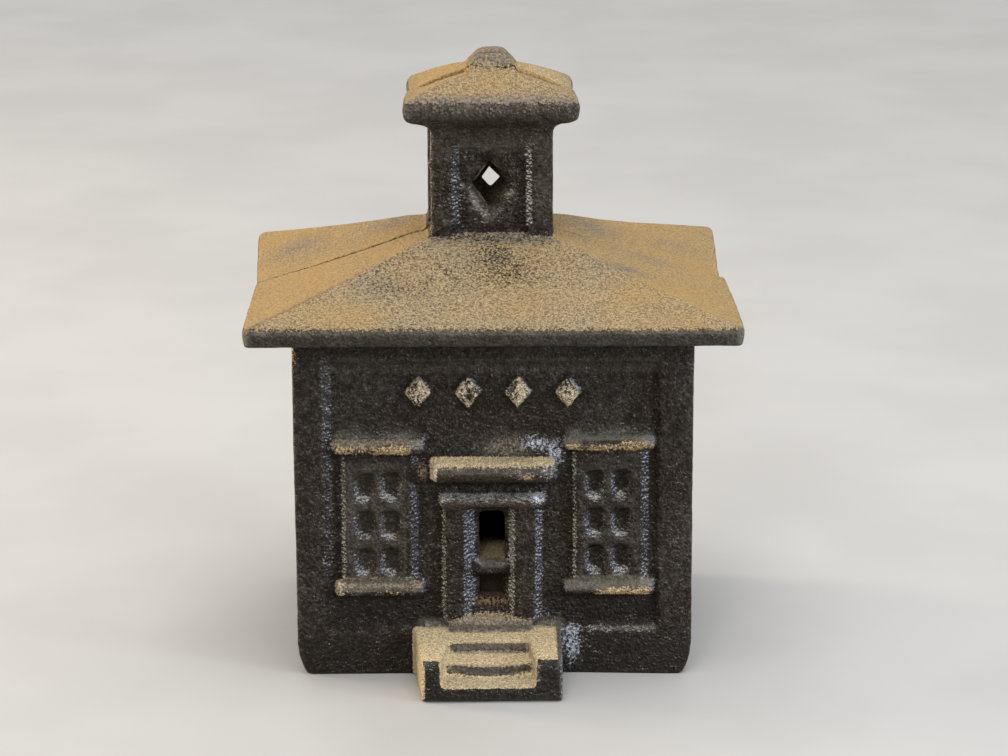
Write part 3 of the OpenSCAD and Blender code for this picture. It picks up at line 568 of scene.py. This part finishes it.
        # a painted cool highlight on the wall panel's left bevel
        cool_highlight = np.maximum(cool_highlight, 0.31 * front_face * band(x, -27.9, -26.7, 0.5) * (0.6 + 0.4 * ss(30, 44, z)) * ss(14, 20, z) * ss(56.0, 54.5, z))
        gold = np.maximum(gold, 0.7 * out * blob(p, (-32.6, -24.2, 56.5), (0.7, 0.9, 3.2)))
        gold = np.maximum(gold, 0.3 * out * blob(p, (-32.6, -24.2, 40), (0.5, 0.6, 14)))
        # lozenges
        loz = zero.copy()
        for c in (-12.3, -4.1, 4.1, 12.3):
            inside = ss(1.12, 0.86, np.abs(x - c) / 2.7 + np.abs(z - 49.0) / 3.5)
            loz = np.maximum(loz, inside * ss(-23.75, -24.1, y))
        gold = np.maximum(gold, loz * (0.62 + 0.3 * fbm(p, 2.0, 99, 2)))
        cream = np.maximum(cream, loz)
        # scuffs, and painted bluish-white glints where the mark is strongest
        scuff_and_glint = np.maximum(scuff_and_glint, 0.5 * front_face * blob(p, (-10.4, -25.4, 36.8), (0.8, 2, 1.6)))
        scuff_and_glint = np.maximum(scuff_and_glint, 0.62 * front_face * blob(p, (8.8, -25.8, 35.8), (2.2, 3, 2.4)))
        scuff_and_glint = np.maximum(scuff_and_glint, 0.52 * front_face * blob(p, (5.0, -26.6, 35.6), (2.8, 2, 1.3)))
        spot = front_face * np.minimum(1, 1.5 * blob(p, (2.3, -23.6, 39.4), (4.0, 3, 2.0)))
        dust = np.maximum(dust, 0.5 * spot)
        film_and_light = np.maximum(film_and_light, 0.4 * spot)
        grey = np.maximum(grey, spot)
        # painted bluish-white glints above the hood's right part
        scuff_and_glint = np.maximum(scuff_and_glint, 0.72 * front_face * np.minimum(1, blob(p, (6.6, -23.6, 40.2), (2.8, 3, 1.7)) + blob(p, (10.4, -23.6, 38.6), (2.0, 3, 2.6))))
        # painted glints right of the steps
        scuff_and_glint = np.maximum(scuff_and_glint, 0.68 * out * (y < -24) * np.minimum(1, 1.4 * blob(p, (13.0, -24.5, 5.6), (2.0, 4, 4.2))))
        scuff_and_glint = np.maximum(scuff_and_glint, 0.42 * out * (y < -24) * blob(p, (-11.6, -24.5, 9.0), (1.6, 4, 2.0)))
        # painted glints right of the door, above the steps
        scuff_and_glint = np.maximum(scuff_and_glint, 0.46 * out * (y < -23) * blob(p, (9.6, -24.5, 9.9), (2.6, 4, 1.1)))
        scuff_and_glint = np.maximum(scuff_and_glint, 0.5 * front_face * blob(p, (-7.9, -25.0, 10.2), (0.7, 3, 1.6)))
        scuff_and_glint = np.maximum(scuff_and_glint, 0.5 * front_face * blob(p, (-11.9, -25.2, 41.0), (1.2, 3, 1.0)))
        # a painted bluish-white glint at the right end of the door's second lintel
        scuff_and_glint = np.maximum(scuff_and_glint, 0.8 * front_face * blob(p, (7.3, -25.0, 31.0), (1.6, 3, 1.5)))
        scuff_and_glint = np.maximum(scuff_and_glint, 0.42 * front_face * blob(p, (-8.4, -25.0, 31.4), (0.9, 3, 1.0)))
        scuff_and_glint = np.maximum(scuff_and_glint, 0.4 * front_face * blob(p, (-11.6, -25.2, 16.2), (1.0, 3, 0.9)))
        web = front_face * ss(-10.3, -10.7, x) * blob(p, (-11.5, -24.2, 35.9), (1.2, 3, 2.2))
        brown = np.maximum(brown, 0.5 * web)
        grey = np.maximum(grey, 0.5 * web)
        dust = np.maximum(dust, 0.66 * web)
        # cupola: painted highlights on the panel's sides and the opening's lower sides, cool on the right-facing ones
        # and warm on the left-facing ones, and a painted warm highlight on the cupola's left side
        cup = out * (ny < -0.15) * band(z, 73.0, 89.0, 0.6) * (y < -5.5) * (ax < 9.2) * ss(1.03, 1.08, side_v)
        cool_highlight = np.maximum(cool_highlight, cup * np.maximum(ss(0.25, 0.6, nx), band(x, -6.5, -5.3, 0.3)) * band(z, 72.2, 86.2, 0.6) * 0.36)
        gold = np.maximum(gold, 0.5 * out * ss(-0.3, -0.7, nx) * band(z, 71.8, 89.0, 0.8) * ss(-6.4, -7.0, y) * ss(-9.6, -9.9, x))
        warm_highlight = np.maximum(warm_highlight, cup * np.maximum(ss(0.25, 0.6, -nx), band(x, 5.9, 6.6, 0.3)) * band(z, 72.2, 86.2, 0.6) * 0.78)
    else:
        # rim of the coin slot, rubbed by coins, and a ring around the screw
        rim = out * (y > 23.2) * band(ax, 0, 19.6, 0.6) * band(z, 43.2, 54.8, 0.5)
        gold = np.maximum(gold, 0.35 * rim * ss(0.004, 0.016, curve))
        scuff_and_glint = np.maximum(scuff_and_glint, 0.35 * rim * ss(0.006, 0.02, curve))
        r = np.hypot(x, z - SCREW_Z)
        brown = np.maximum(brown, 0.5 * (y > 23) * band(r, 3.6, 5.6, 0.8))

    # dust that settled inside the cupola
    loft = ins * band(z, 72.0, 90.0, 1.0) * (ax < 8.8) * (ay < 6.0)
    dust = np.maximum(dust, loft * 0.95)
    # painted cool highlights on the rear relief's side-facing edges
    rear_edges = rear_face * (ax < 29.3) * ss(0.35, 0.7, np.abs(nx)) * 0.36
    cool_highlight = np.maximum(cool_highlight, rear_edges)

    layer(me, "cool_highlight", cool_highlight)
    layer(me, "warm_highlight", warm_highlight)
    layer(me, "shade", shade)
    layer(me, "film_and_light", film_and_light)
    layer(me, "dust", dust * np.where(ins > 0, np.maximum(loft, 1.0 * front), 1.0))
    layer(me, "grey", grey)
    layer(me, "ochre", ochre)
    layer(me, "gold", gold)
    layer(me, "scuff_and_glint", scuff_and_glint)
    layer(me, "brown", brown)
    layer(me, "cream", cream)
    layer(me, "inside", ins)
    layer(me, "edge", out * ss(0.003, 0.014, curve))
    layer(me, "nook", ss(-0.002, -0.012, curve))


# ---------------------------------------------------------------- materials
class Tree:
    """Short names for building a material's nodes."""

    def __init__(self, name, look=(0.1, 0.1, 0.1)):
        self.m = bpy.data.materials.new(name)
        self.m.use_nodes = True
        self.m.diffuse_color = (*look, 1)
        self.t = self.m.node_tree
        self.t.nodes.clear()
        self.out = self.t.nodes.new("ShaderNodeOutputMaterial")
        self.bsdf = self.t.nodes.new("ShaderNodeBsdfPrincipled")
        self.t.links.new(self.bsdf.outputs[0], self.out.inputs[0])
        tc = self.t.nodes.new("ShaderNodeTexCoord")
        mp = self.t.nodes.new("ShaderNodeMapping")
        mp.inputs["Scale"].default_value = (1000, 1000, 1000)
        self.t.links.new(tc.outputs["Object"], mp.inputs["Vector"])
        self.mm = mp.outputs[0]

    def put(self, socket, v):
        if hasattr(v, "is_output"):
            self.t.links.new(v, socket)
        elif isinstance(v, (tuple, list)) and len(v) == 3 and socket.type == "RGBA":
            socket.default_value = (*v, 1)
        else:
            socket.default_value = v

    def noise(self, scale, detail=2.0, rough=0.5, warp=0.0, vec=None):
        n = self.t.nodes.new("ShaderNodeTexNoise")
        self.put(n.inputs["Vector"], self.mm if vec is None else vec)
        n.inputs["Scale"].default_value = scale
        n.inputs["Detail"].default_value = detail
        n.inputs["Roughness"].default_value = rough
        n.inputs["Distortion"].default_value = warp
        return n.outputs[0]

    def cells(self, scale, feature="F1"):
        n = self.t.nodes.new("ShaderNodeTexVoronoi")
        n.feature = feature
        self.put(n.inputs["Vector"], self.mm)
        n.inputs["Scale"].default_value = scale
        return n.outputs["Distance"]

    def shifted(self, by, stretch=(1, 1, 1)):
        mp = self.t.nodes.new("ShaderNodeMapping")
        mp.inputs["Location"].default_value = by
        mp.inputs["Scale"].default_value = stretch
        self.t.links.new(self.mm, mp.inputs["Vector"])
        return mp.outputs[0]

    def attr(self, name):
        n = self.t.nodes.new("ShaderNodeAttribute")
        n.attribute_name = name
        return n.outputs["Fac"]

    def math(self, op, a, b=None, c=None, clamp=False):
        n = self.t.nodes.new("ShaderNodeMath")
        n.operation, n.use_clamp = op, clamp
        for s, v in zip(n.inputs, (a, b, c)):
            if v is not None:
                self.put(s, v)
        return n.outputs[0]

    def parts(self, v):
        n = self.t.nodes.new("ShaderNodeSeparateXYZ")
        self.put(n.inputs[0], v)
        return n.outputs

    def around(self, base, *terms):
        """base plus each noise's swing about its middle times a weight."""
        for v, w in terms:
            base = self.math("MULTIPLY_ADD", v, w, self.math("SUBTRACT", base, 0.5 * w) if hasattr(base, "is_output") else base - 0.5 * w)
        return base

    def ramp(self, v, a, b, lo=0.0, hi=1.0):
        n = self.t.nodes.new("ShaderNodeMapRange")
        n.interpolation_type = "SMOOTHSTEP"
        for k, w in zip(("Value", "From Min", "From Max", "To Min", "To Max"), (v, a, b, lo, hi)):
            self.put(n.inputs[k], w)
        return n.outputs["Result"]

    def mix(self, f, a, b):
        n = self.t.nodes.new("ShaderNodeMix")
        n.data_type = "RGBA"
        self.put(n.inputs[0], f)
        self.put(n.inputs[6], a)
        self.put(n.inputs[7], b)
        return n.outputs[2]

    def mixf(self, f, a, b):
        n = self.t.nodes.new("ShaderNodeMix")
        n.data_type = "FLOAT"
        self.put(n.inputs[0], f)
        self.put(n.inputs[2], a)
        self.put(n.inputs[3], b)
        return n.outputs[0]

    def bump(self, height, distance, strength=1.0, normal=None):
        n = self.t.nodes.new("ShaderNodeBump")
        self.put(n.inputs["Height"], height)
        n.inputs["Distance"].default_value = distance
        n.inputs["Strength"].default_value = strength
        if normal is not None:
            self.put(n.inputs["Normal"], normal)
        return n.outputs[0]


def iron(name, seed):
    """Old brown-black paint on pebbled cast iron, dusted with tan and rubbed to gold."""
    t = Tree(name, (0.05, 0.045, 0.04))
    if seed:
        t.mm = t.shifted((seed * 17.0, seed * 5.0, seed * 3.0))
    fine = t.noise(2.3, 3.0, 0.6)
    grit = t.noise(4.6, 2.0, 0.6)
    coarse = t.noise(1.1, 3.0, 0.6, 0.0, t.shifted((13, 29, 47)))
    mid = t.noise(0.55, 3.0, 0.55)
    low = t.noise(0.11, 2.0, 0.5)
    pebble = t.cells(1.7)

    # paint: brown-black, lighter where it is thin, with bare points
    thin = t.around(0.5, (fine, 0.5), (coarse, 0.45), (mid, 0.3), (low, 0.25))
    thin = t.math("ADD", thin, t.math("MULTIPLY", t.math("SUBTRACT", t.attr("edge"), t.attr("nook")), 0.05))
    dark = t.mix(t.ramp(low, 0.38, 0.62), (0.0085, 0.0050, 0.0022), (0.0070, 0.0052, 0.0034))
    dark = t.mix(t.ramp(thin, 0.40, 0.82), dark, t.mix(t.ramp(coarse, 0.4, 0.6), (0.074, 0.056, 0.043), (0.078, 0.066, 0.055)))
    points = t.around(0.5, (grit, 0.5), (fine, 0.5), (coarse, 0.2))
    dark = t.mix(t.ramp(points, 0.58, 0.72, 0, 0.5), dark, (0.16, 0.145, 0.13))
    # painted shade where the shade mask is set
    dark = t.mix(t.math("MULTIPLY", t.attr("shade"), 0.7), dark, (0.0075, 0.0055, 0.0038))
    rusty = t.mix(t.ramp(fine, 0.42, 0.62), (0.012, 0.0062, 0.003), (0.066, 0.044, 0.029))
    dark = t.mix(t.math("MULTIPLY", t.attr("brown"), 0.8), dark, rusty)
    # painted glints on the bumps' slopes, warm on left-facing slopes and cool on right-facing ones, crowded where edge
    # highlights are painted
    skin_height = t.math("ADD", t.math("MULTIPLY", t.ramp(pebble, 0.0, 0.75, 1.0, 0.0), 0.7), t.math("MULTIPLY", fine, 0.9))
    skin_height = t.math("ADD", skin_height, t.math("MULTIPLY", coarse, 0.9))
    side, depth, rise = t.parts(t.bump(skin_height, 0.00055))
    bump_glints = t.math("MULTIPLY_ADD", t.math("ABSOLUTE", side), 0.42, t.math("MULTIPLY_ADD", rise, 0.78, t.math("MULTIPLY", t.math("ABSOLUTE", depth), 0.42)))
    edge_highlight = t.math("MAXIMUM", t.attr("cool_highlight"), t.attr("warm_highlight"))
    bump_glints = t.math("ADD", bump_glints, t.math("MULTIPLY", edge_highlight, 0.42))
    bump_glints = t.around(bump_glints, (grit, 0.5), (mid, 0.3))
    glint_tint = t.mix(t.ramp(side, -0.35, 0.35), (0.66, 0.61, 0.50), (0.44, 0.45, 0.53))
    highlight_lift = t.mix(t.ramp(side, -0.35, 0.35), (0.075, 0.064, 0.046), (0.088, 0.090, 0.108))
    dark = t.mix(t.ramp(edge_highlight, 0.0, 0.8, 0, 0.4), dark, highlight_lift)
    dark = t.mix(t.ramp(bump_glints, 0.96, 1.16, 0, 0.9), dark, glint_tint)
    # bare, browned iron inside
    bare = t.mix(t.ramp(mid, 0.35, 0.65), (0.095, 0.062, 0.042), (0.18, 0.115, 0.072))
    bare = t.mix(t.ramp(fine, 0.58, 0.75, 0, 0.5), bare, (0.20, 0.115, 0.065))
    # painted shade inside, behind the door, where the shade mask is set
    bare = t.mix(t.math("MULTIPLY", t.attr("shade"), 0.9, clamp=True), bare, (0.010, 0.007, 0.0045))
    dark = t.mix(t.attr("inside"), dark, bare)

    # tan dusting
    spark = t.math("ADD", t.math("MULTIPLY", fine, 0.55), t.math("MULTIPLY", grit, 0.45))
    pale_tan = t.mix(t.ramp(spark, 0.38, 0.62), (0.10, 0.078, 0.050), (0.415, 0.325, 0.195))
    warm_tan = t.mix(t.ramp(spark, 0.36, 0.62), (0.25, 0.158, 0.062), (0.42, 0.275, 0.113))
    cream = t.mix(t.ramp(spark, 0.38, 0.62), (0.32, 0.25, 0.145), (0.73, 0.57, 0.335))
    tan = t.mix(t.math("ADD", t.attr("ochre"), t.ramp(low, 0.3, 0.7, -0.15, 0.15), clamp=True), pale_tan, warm_tan)
    tan = t.mix(t.attr("cream"), tan, cream)
    greyed = t.mix(t.ramp(fine, 0.35, 0.65), (0.10, 0.083, 0.071), (0.25, 0.207, 0.165))
    tan = t.mix(t.math("MULTIPLY", t.attr("grey"), t.ramp(mid, 0.3, 0.6, 0.55, 1.0), clamp=True), tan, greyed)
    tan = t.mix(t.attr("brown"), tan, t.mix(t.ramp(fine, 0.4, 0.6), (0.08, 0.046, 0.028), (0.20, 0.13, 0.075)))
    v = t.around(t.attr("dust"), (fine, 1.15), (grit, 0.55), (mid, 0.35))
    v = t.math("SUBTRACT", v, t.math("MULTIPLY", t.attr("nook"), 0.08))
    dusty = t.math("MULTIPLY", t.ramp(v, 0.34, 0.66), t.ramp(t.attr("dust"), 0.02, 0.12))
    # a pale veil: dust film, and painted light where the film mask brightens shaded or side-lit faces
    veil_and_light = t.math("MULTIPLY", t.attr("film_and_light"), t.ramp(t.around(0.5, (fine, 0.7), (mid, 0.5)), 0.3, 0.7, 0.45, 1.0))
    dark = t.mix(veil_and_light, dark, t.mix(t.attr("brown"), (0.175, 0.155, 0.120), (0.155, 0.108, 0.070)))
    colour = t.mix(dusty, dark, tan)

    # rubbed gold flecks
    flake = t.noise(2.2, 3.0, 0.7, 0.6, t.shifted((31, 7, 3)))
    g = t.around(t.attr("gold"), (flake, 2.1))
    golden = t.math("MULTIPLY", t.ramp(g, 0.46, 0.70), t.ramp(t.attr("gold"), 0.04, 0.2))
    gold = t.mix(t.ramp(spark, 0.40, 0.60), (0.17, 0.092, 0.042), (0.74, 0.56, 0.31))
    gold = t.mix(t.attr("cream"), gold, t.mix(t.ramp(spark, 0.38, 0.60), (0.31, 0.215, 0.125), (0.82, 0.69, 0.49)))
    colour = t.mix(golden, colour, gold)

    # pale scuffs, with a painted bluish-white glint where the mark is strongest
    sc = t.around(t.attr("scuff_and_glint"), (t.noise(2.1, 3.0, 0.7, 0.5, t.shifted((5, 19, 41))), 2.4))
    scuff_and_glint_mask = t.math("MULTIPLY", t.ramp(sc, 0.46, 0.86), t.ramp(t.attr("scuff_and_glint"), 0.04, 0.2))
    scuff_and_glint_mask = t.math("MULTIPLY", scuff_and_glint_mask, t.math("SUBTRACT", 1.0, golden))
    white = t.mix(t.ramp(grit, 0.36, 0.5), (0.10, 0.10, 0.11), t.mix(t.ramp(coarse, 0.4, 0.6), (0.36, 0.36, 0.36), (0.52, 0.54, 0.59)))
    glint = t.mix(t.ramp(grit, 0.40, 0.55), (0.10, 0.12, 0.15), (0.78, 0.88, 1.0))
    colour = t.mix(scuff_and_glint_mask, colour, t.mix(t.ramp(t.attr("scuff_and_glint"), 0.62, 0.78), white, glint))

    gloss = t.ramp(mid, 0.3, 0.7, 0.24, 0.38)
    gloss = t.mixf(t.attr("inside"), gloss, 0.75)
    gloss = t.mixf(dusty, gloss, 0.86)
    gloss = t.mixf(golden, gloss, 0.42)
    gloss = t.mixf(scuff_and_glint_mask, gloss, 0.5)
    t.put(t.bsdf.inputs["Base Color"], colour)
    t.put(t.bsdf.inputs["Roughness"], gloss)
    t.put(t.bsdf.inputs["Metallic"], t.math("MULTIPLY", golden, 0.3))
    t.bsdf.inputs["Specular IOR Level"].default_value = 0.22
    t.bsdf.inputs["Specular Tint"].default_value = (1.0, 0.90, 0.78, 1)

    height = t.math("ADD", t.math("MULTIPLY", t.ramp(pebble, 0.0, 0.75, 1.0, 0.0), 0.5), t.math("MULTIPLY", fine, 0.9))
    height = t.math("ADD", height, t.math("MULTIPLY", coarse, 0.9))
    height = t.math("ADD", height, t.math("MULTIPLY", grit, 0.35))
    height = t.math("ADD", height, t.math("MULTIPLY", dusty, 0.12))
    nrm = t.bump(height, 0.00036, 1.0)
    t.put(t.bsdf.inputs["Normal"], nrm)
    return t.m


def steel(name, base, rust, bright, seed):
    """Dull darkened steel with rust in its corners and bright rubbed edges."""
    t = Tree(name, base)
    t.mm = t.shifted((seed * 11.0, seed * 7.0, seed * 5.0))
    fine = t.noise(5.0, 3.0, 0.6)
    mid = t.noise(1.3, 3.0, 0.6)
    scratch = t.noise(9.0, 2.0, 0.6, 0.0, t.shifted((3, 1, 2), (1, 0.12, 1)))
    c = t.mix(t.ramp(mid, 0.35, 0.65), base, tuple(0.55 * v for v in base))
    c = t.mix(t.ramp(scratch, 0.55, 0.75, 0, 0.5), c, tuple(min(1, 1.6 * v) for v in base))
    rv = t.math("ADD", t.math("MULTIPLY", t.attr("nook"), 0.45), t.ramp(mid, 0.45, 0.75, 0.0, 0.8))
    rusty = t.math("MULTIPLY", t.ramp(t.math("ADD", rv, t.math("MULTIPLY", t.math("SUBTRACT", fine, 0.5), 1.4)), 0.45, 0.95), rust)
    c = t.mix(rusty, c, t.mix(t.ramp(fine, 0.4, 0.6), (0.11, 0.045, 0.02), (0.24, 0.10, 0.04)))
    shine = t.math("MULTIPLY", t.attr("edge"), t.ramp(fine, 0.3, 0.6, bright * 0.5, bright))
    c = t.mix(shine, c, (0.62, 0.58, 0.52))
    t.put(t.bsdf.inputs["Base Color"], c)
    t.put(t.bsdf.inputs["Metallic"], t.mixf(rusty, 0.95, 0.1))
    t.put(t.bsdf.inputs["Roughness"], t.mixf(rusty, t.ramp(mid, 0.3, 0.7, 0.36, 0.52), 0.85))
    h = t.math("ADD", t.math("MULTIPLY", fine, 0.7), t.math("MULTIPLY", rusty, 0.5))
    t.put(t.bsdf.inputs["Normal"], t.bump(h, 0.00003, 0.8))
    return t.m


# ---------------------------------------------------------------- hardware
def hardware(node, name, body, material, voxel, rounds, shape, faces):
    ob = skin(node, name, voxel, rounds)
    me = ob.data
    p = read(me) * 1000
    n = read(me, "n")
    write(me, shape(p, n) / 1000)
    count = sum(len(f.vertices) - 2 for f in me.polygons)
    if count > faces:
        m = ob.modifiers.new("fewer", "DECIMATE")
        m.ratio = faces / count
        m.use_collapse_triangulate = True
        applied(ob)
        me = ob.data
        me.name = name
    smooth_shade(me)
    p, n = read(me) * 1000, read(me, "n")
    c = curvature(me, p, n)
    s = np.percentile(np.abs(c), 92)
    layer(me, "edge", ss(0.5 * s, 1.6 * s, c))
    layer(me, "nook", ss(-0.4 * s, -1.4 * s, c))
    me.materials.append(material)
    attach(ob, body)
    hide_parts(node)
    return ob


def screw_shape(p, n):
    """Cuts the thread into the front part of the shank and ages the head."""
    q = p.copy()
    r = np.hypot(p[:, 0], p[:, 2] - SCREW_Z)
    a = np.arctan2(p[:, 0], p[:, 2] - SCREW_Z)
    y = p[:, 1]
    ph = np.mod(y / 0.8 - a / (2 * math.pi), 1.0)
    cut = np.clip(np.abs(ph - 0.5) * 2, 0, 1)            # 1 at the crest
    depth = 0.36 * (1 - ss(0.1, 0.85, cut)) * ss(-18.7, -17.9, y) * ss(-2.2, -3.2, y) * (r > 1.1)
    k = np.where(r > 1e-6, (r - depth) / np.maximum(r, 1e-6), 1)
    q[:, 0] = p[:, 0] * k
    q[:, 2] = SCREW_Z + (p[:, 2] - SCREW_Z) * k
    q += n * (0.012 * vnoise(p, 0.9, 201) + 0.006 * vnoise(p, 0.4, 202))[:, None] * (y > 24)[:, None]
    return q


def nut_shape(p, n):
    """Chamfers one face of the nut and cuts its thread outward of the bore."""
    q = p.copy()
    dx, dz = p[:, 0], p[:, 2] - SCREW_Z
    r, y = np.hypot(dx, dz), p[:, 1]
    a = np.arctan2(dx, dz)
    mid = -17.45 + 1.45
    over = np.maximum(0, r - 3.95)
    q[:, 1] = mid + (y - mid) * (1 - 0.42 * over / 1.45 * ss(0.0, 1.2, y - mid) - 0.12 * over / 1.45 * ss(0.0, 1.2, mid - y))
    ph = np.mod(y / 0.8 - a / (2 * math.pi), 1.0)
    cut = 0.22 * (1 - ss(0.15, 0.9, np.clip(np.abs(ph - 0.5) * 2, 0, 1))) * (r < 2.1)
    k = (r + cut) / np.maximum(r, 1e-6)
    q[:, 0] = dx * k
    q[:, 2] = SCREW_Z + dz * k
    q += n * (0.02 * vnoise(p, 1.6, 211) + 0.01 * vnoise(p, 0.6, 212))[:, None] * (r > 2.4)[:, None]
    return q


def washer_shape(p, n):
    """Rolls the stamped edge on one side."""
    q = p.copy()
    dx, dz = p[:, 0], p[:, 2] - SCREW_Z
    r, y = np.hypot(dx, dz), p[:, 1]
    q[:, 1] -= 0.1 * ss(4.0, 4.8, r) * ss(24.9, 25.4, y)
    q += n * (0.012 * vnoise(p, 1.8, 221) + 0.008 * vnoise(p, 0.5, 222))[:, None] * (r > 2.1)[:, None]
    return q


# ---------------------------------------------------------------- build
front = cast("front_casting", "front_half", iron("front_iron_paint", 0), True)
rear = cast("rear_casting", "rear_half", iron("rear_iron_paint", 1), False)
hardware("tie_screw", "slotted_screw", "screw", steel("screw_steel_dull", (0.30, 0.26, 0.22), 0.75, 0.8, 1),
         0.00009, 2, screw_shape, 120000)
hardware("square_nut", "nut", "front", steel("nut_steel_rusty", (0.28, 0.24, 0.20), 1.0, 0.5, 2),
         0.0001, 2, nut_shape, 60000)
hardware("washer", "flat_washer", "washer", steel("washer_steel_dull", (0.34, 0.30, 0.26), 0.7, 0.7, 3),
         0.0001, 2, washer_shape, 40000)

# ---------------------------------------------------------------- floor, light, camera
floor_mesh = bpy.data.meshes.new("floor")
bm = bmesh.new()
bmesh.ops.create_grid(bm, x_segments=40, y_segments=40, size=2.2)
for v in bm.verts:
    v.co.y += 0.6
bm.to_mesh(floor_mesh)
bm.free()
floor = bpy.data.objects.new("floor", floor_mesh)
scene.collection.objects.link(floor)
ft = Tree("pale_floor", (0.6, 0.59, 0.57))
fv = ft.noise(0.02, 3.0, 0.5)
ft.put(ft.bsdf.inputs["Base Color"], ft.mix(ft.ramp(fv, 0.35, 0.65), (0.40, 0.39, 0.375), (0.43, 0.42, 0.405)))
ft.put(ft.bsdf.inputs["Roughness"], ft.ramp(ft.noise(0.05, 2.0, 0.5), 0.3, 0.7, 0.5, 0.6))
ft.bsdf.inputs["Specular IOR Level"].default_value = 0.3
floor_mesh.materials.append(ft.m)

# a bright room above, dim near the horizon
world = bpy.data.worlds.new("studio")
world.use_nodes = True
wt = world.node_tree
coord = wt.nodes.new("ShaderNodeTexCoord")
parts = wt.nodes.new("ShaderNodeSeparateXYZ")
wt.links.new(coord.outputs["Generated"], parts.inputs[0])
rise = wt.nodes.new("ShaderNodeMapRange")
rise.interpolation_type = "SMOOTHSTEP"
for k, v in zip(("From Min", "From Max", "To Min", "To Max"), (0.02, 0.62, 0.22, 1.15)):
    rise.inputs[k].default_value = v
wt.links.new(parts.outputs[2], rise.inputs["Value"])
wt.nodes["Background"].inputs["Color"].default_value = (0.97, 0.98, 1.0, 1)
wt.links.new(rise.outputs["Result"], wt.nodes["Background"].inputs["Strength"])
scene.world = world


def softbox(name, at, to, w, h, power, colour):
    d = bpy.data.lights.new(name, "AREA")
    d.shape, d.size, d.size_y, d.energy, d.color = "RECTANGLE", w, h, power, colour
    o = bpy.data.objects.new(name, d)
    o.location = at
    o.rotation_euler = (Vector(to) - Vector(at)).to_track_quat("-Z", "Y").to_euler()
    scene.collection.objects.link(o)


aim = (0, 0, 0.045)
softbox("overhead", (0.03, -0.12, 0.75), aim, 0.42, 0.42, 2.8, (1.0, 0.985, 0.96))
softbox("warm_left", (-0.55, 0.16, 0.16), aim, 0.16, 0.16, 2.7, (1.0, 0.82, 0.58))
softbox("cool_right", (0.50, -0.27, 0.15), aim, 0.12, 0.12, 1.7, (0.76, 0.88, 1.0))
softbox("front", (-0.16, -0.62, 0.48), aim, 0.14, 0.14, 0.9, (1.0, 0.98, 0.95))

cam_data = bpy.data.cameras.new("camera")
cam_data.lens, cam_data.sensor_width, cam_data.clip_start, cam_data.clip_end = 131.17, 36.0, 0.01, 20.0
camera = bpy.data.objects.new("camera", cam_data)
camera.location = (-0.00931, -0.59737, 0.22642)
camera.rotation_euler = (math.pi / 2 - 0.29615, 0.0, -0.0194)
scene.collection.objects.link(camera)
scene.camera = camera
scene.view_settings.view_transform = "Standard"
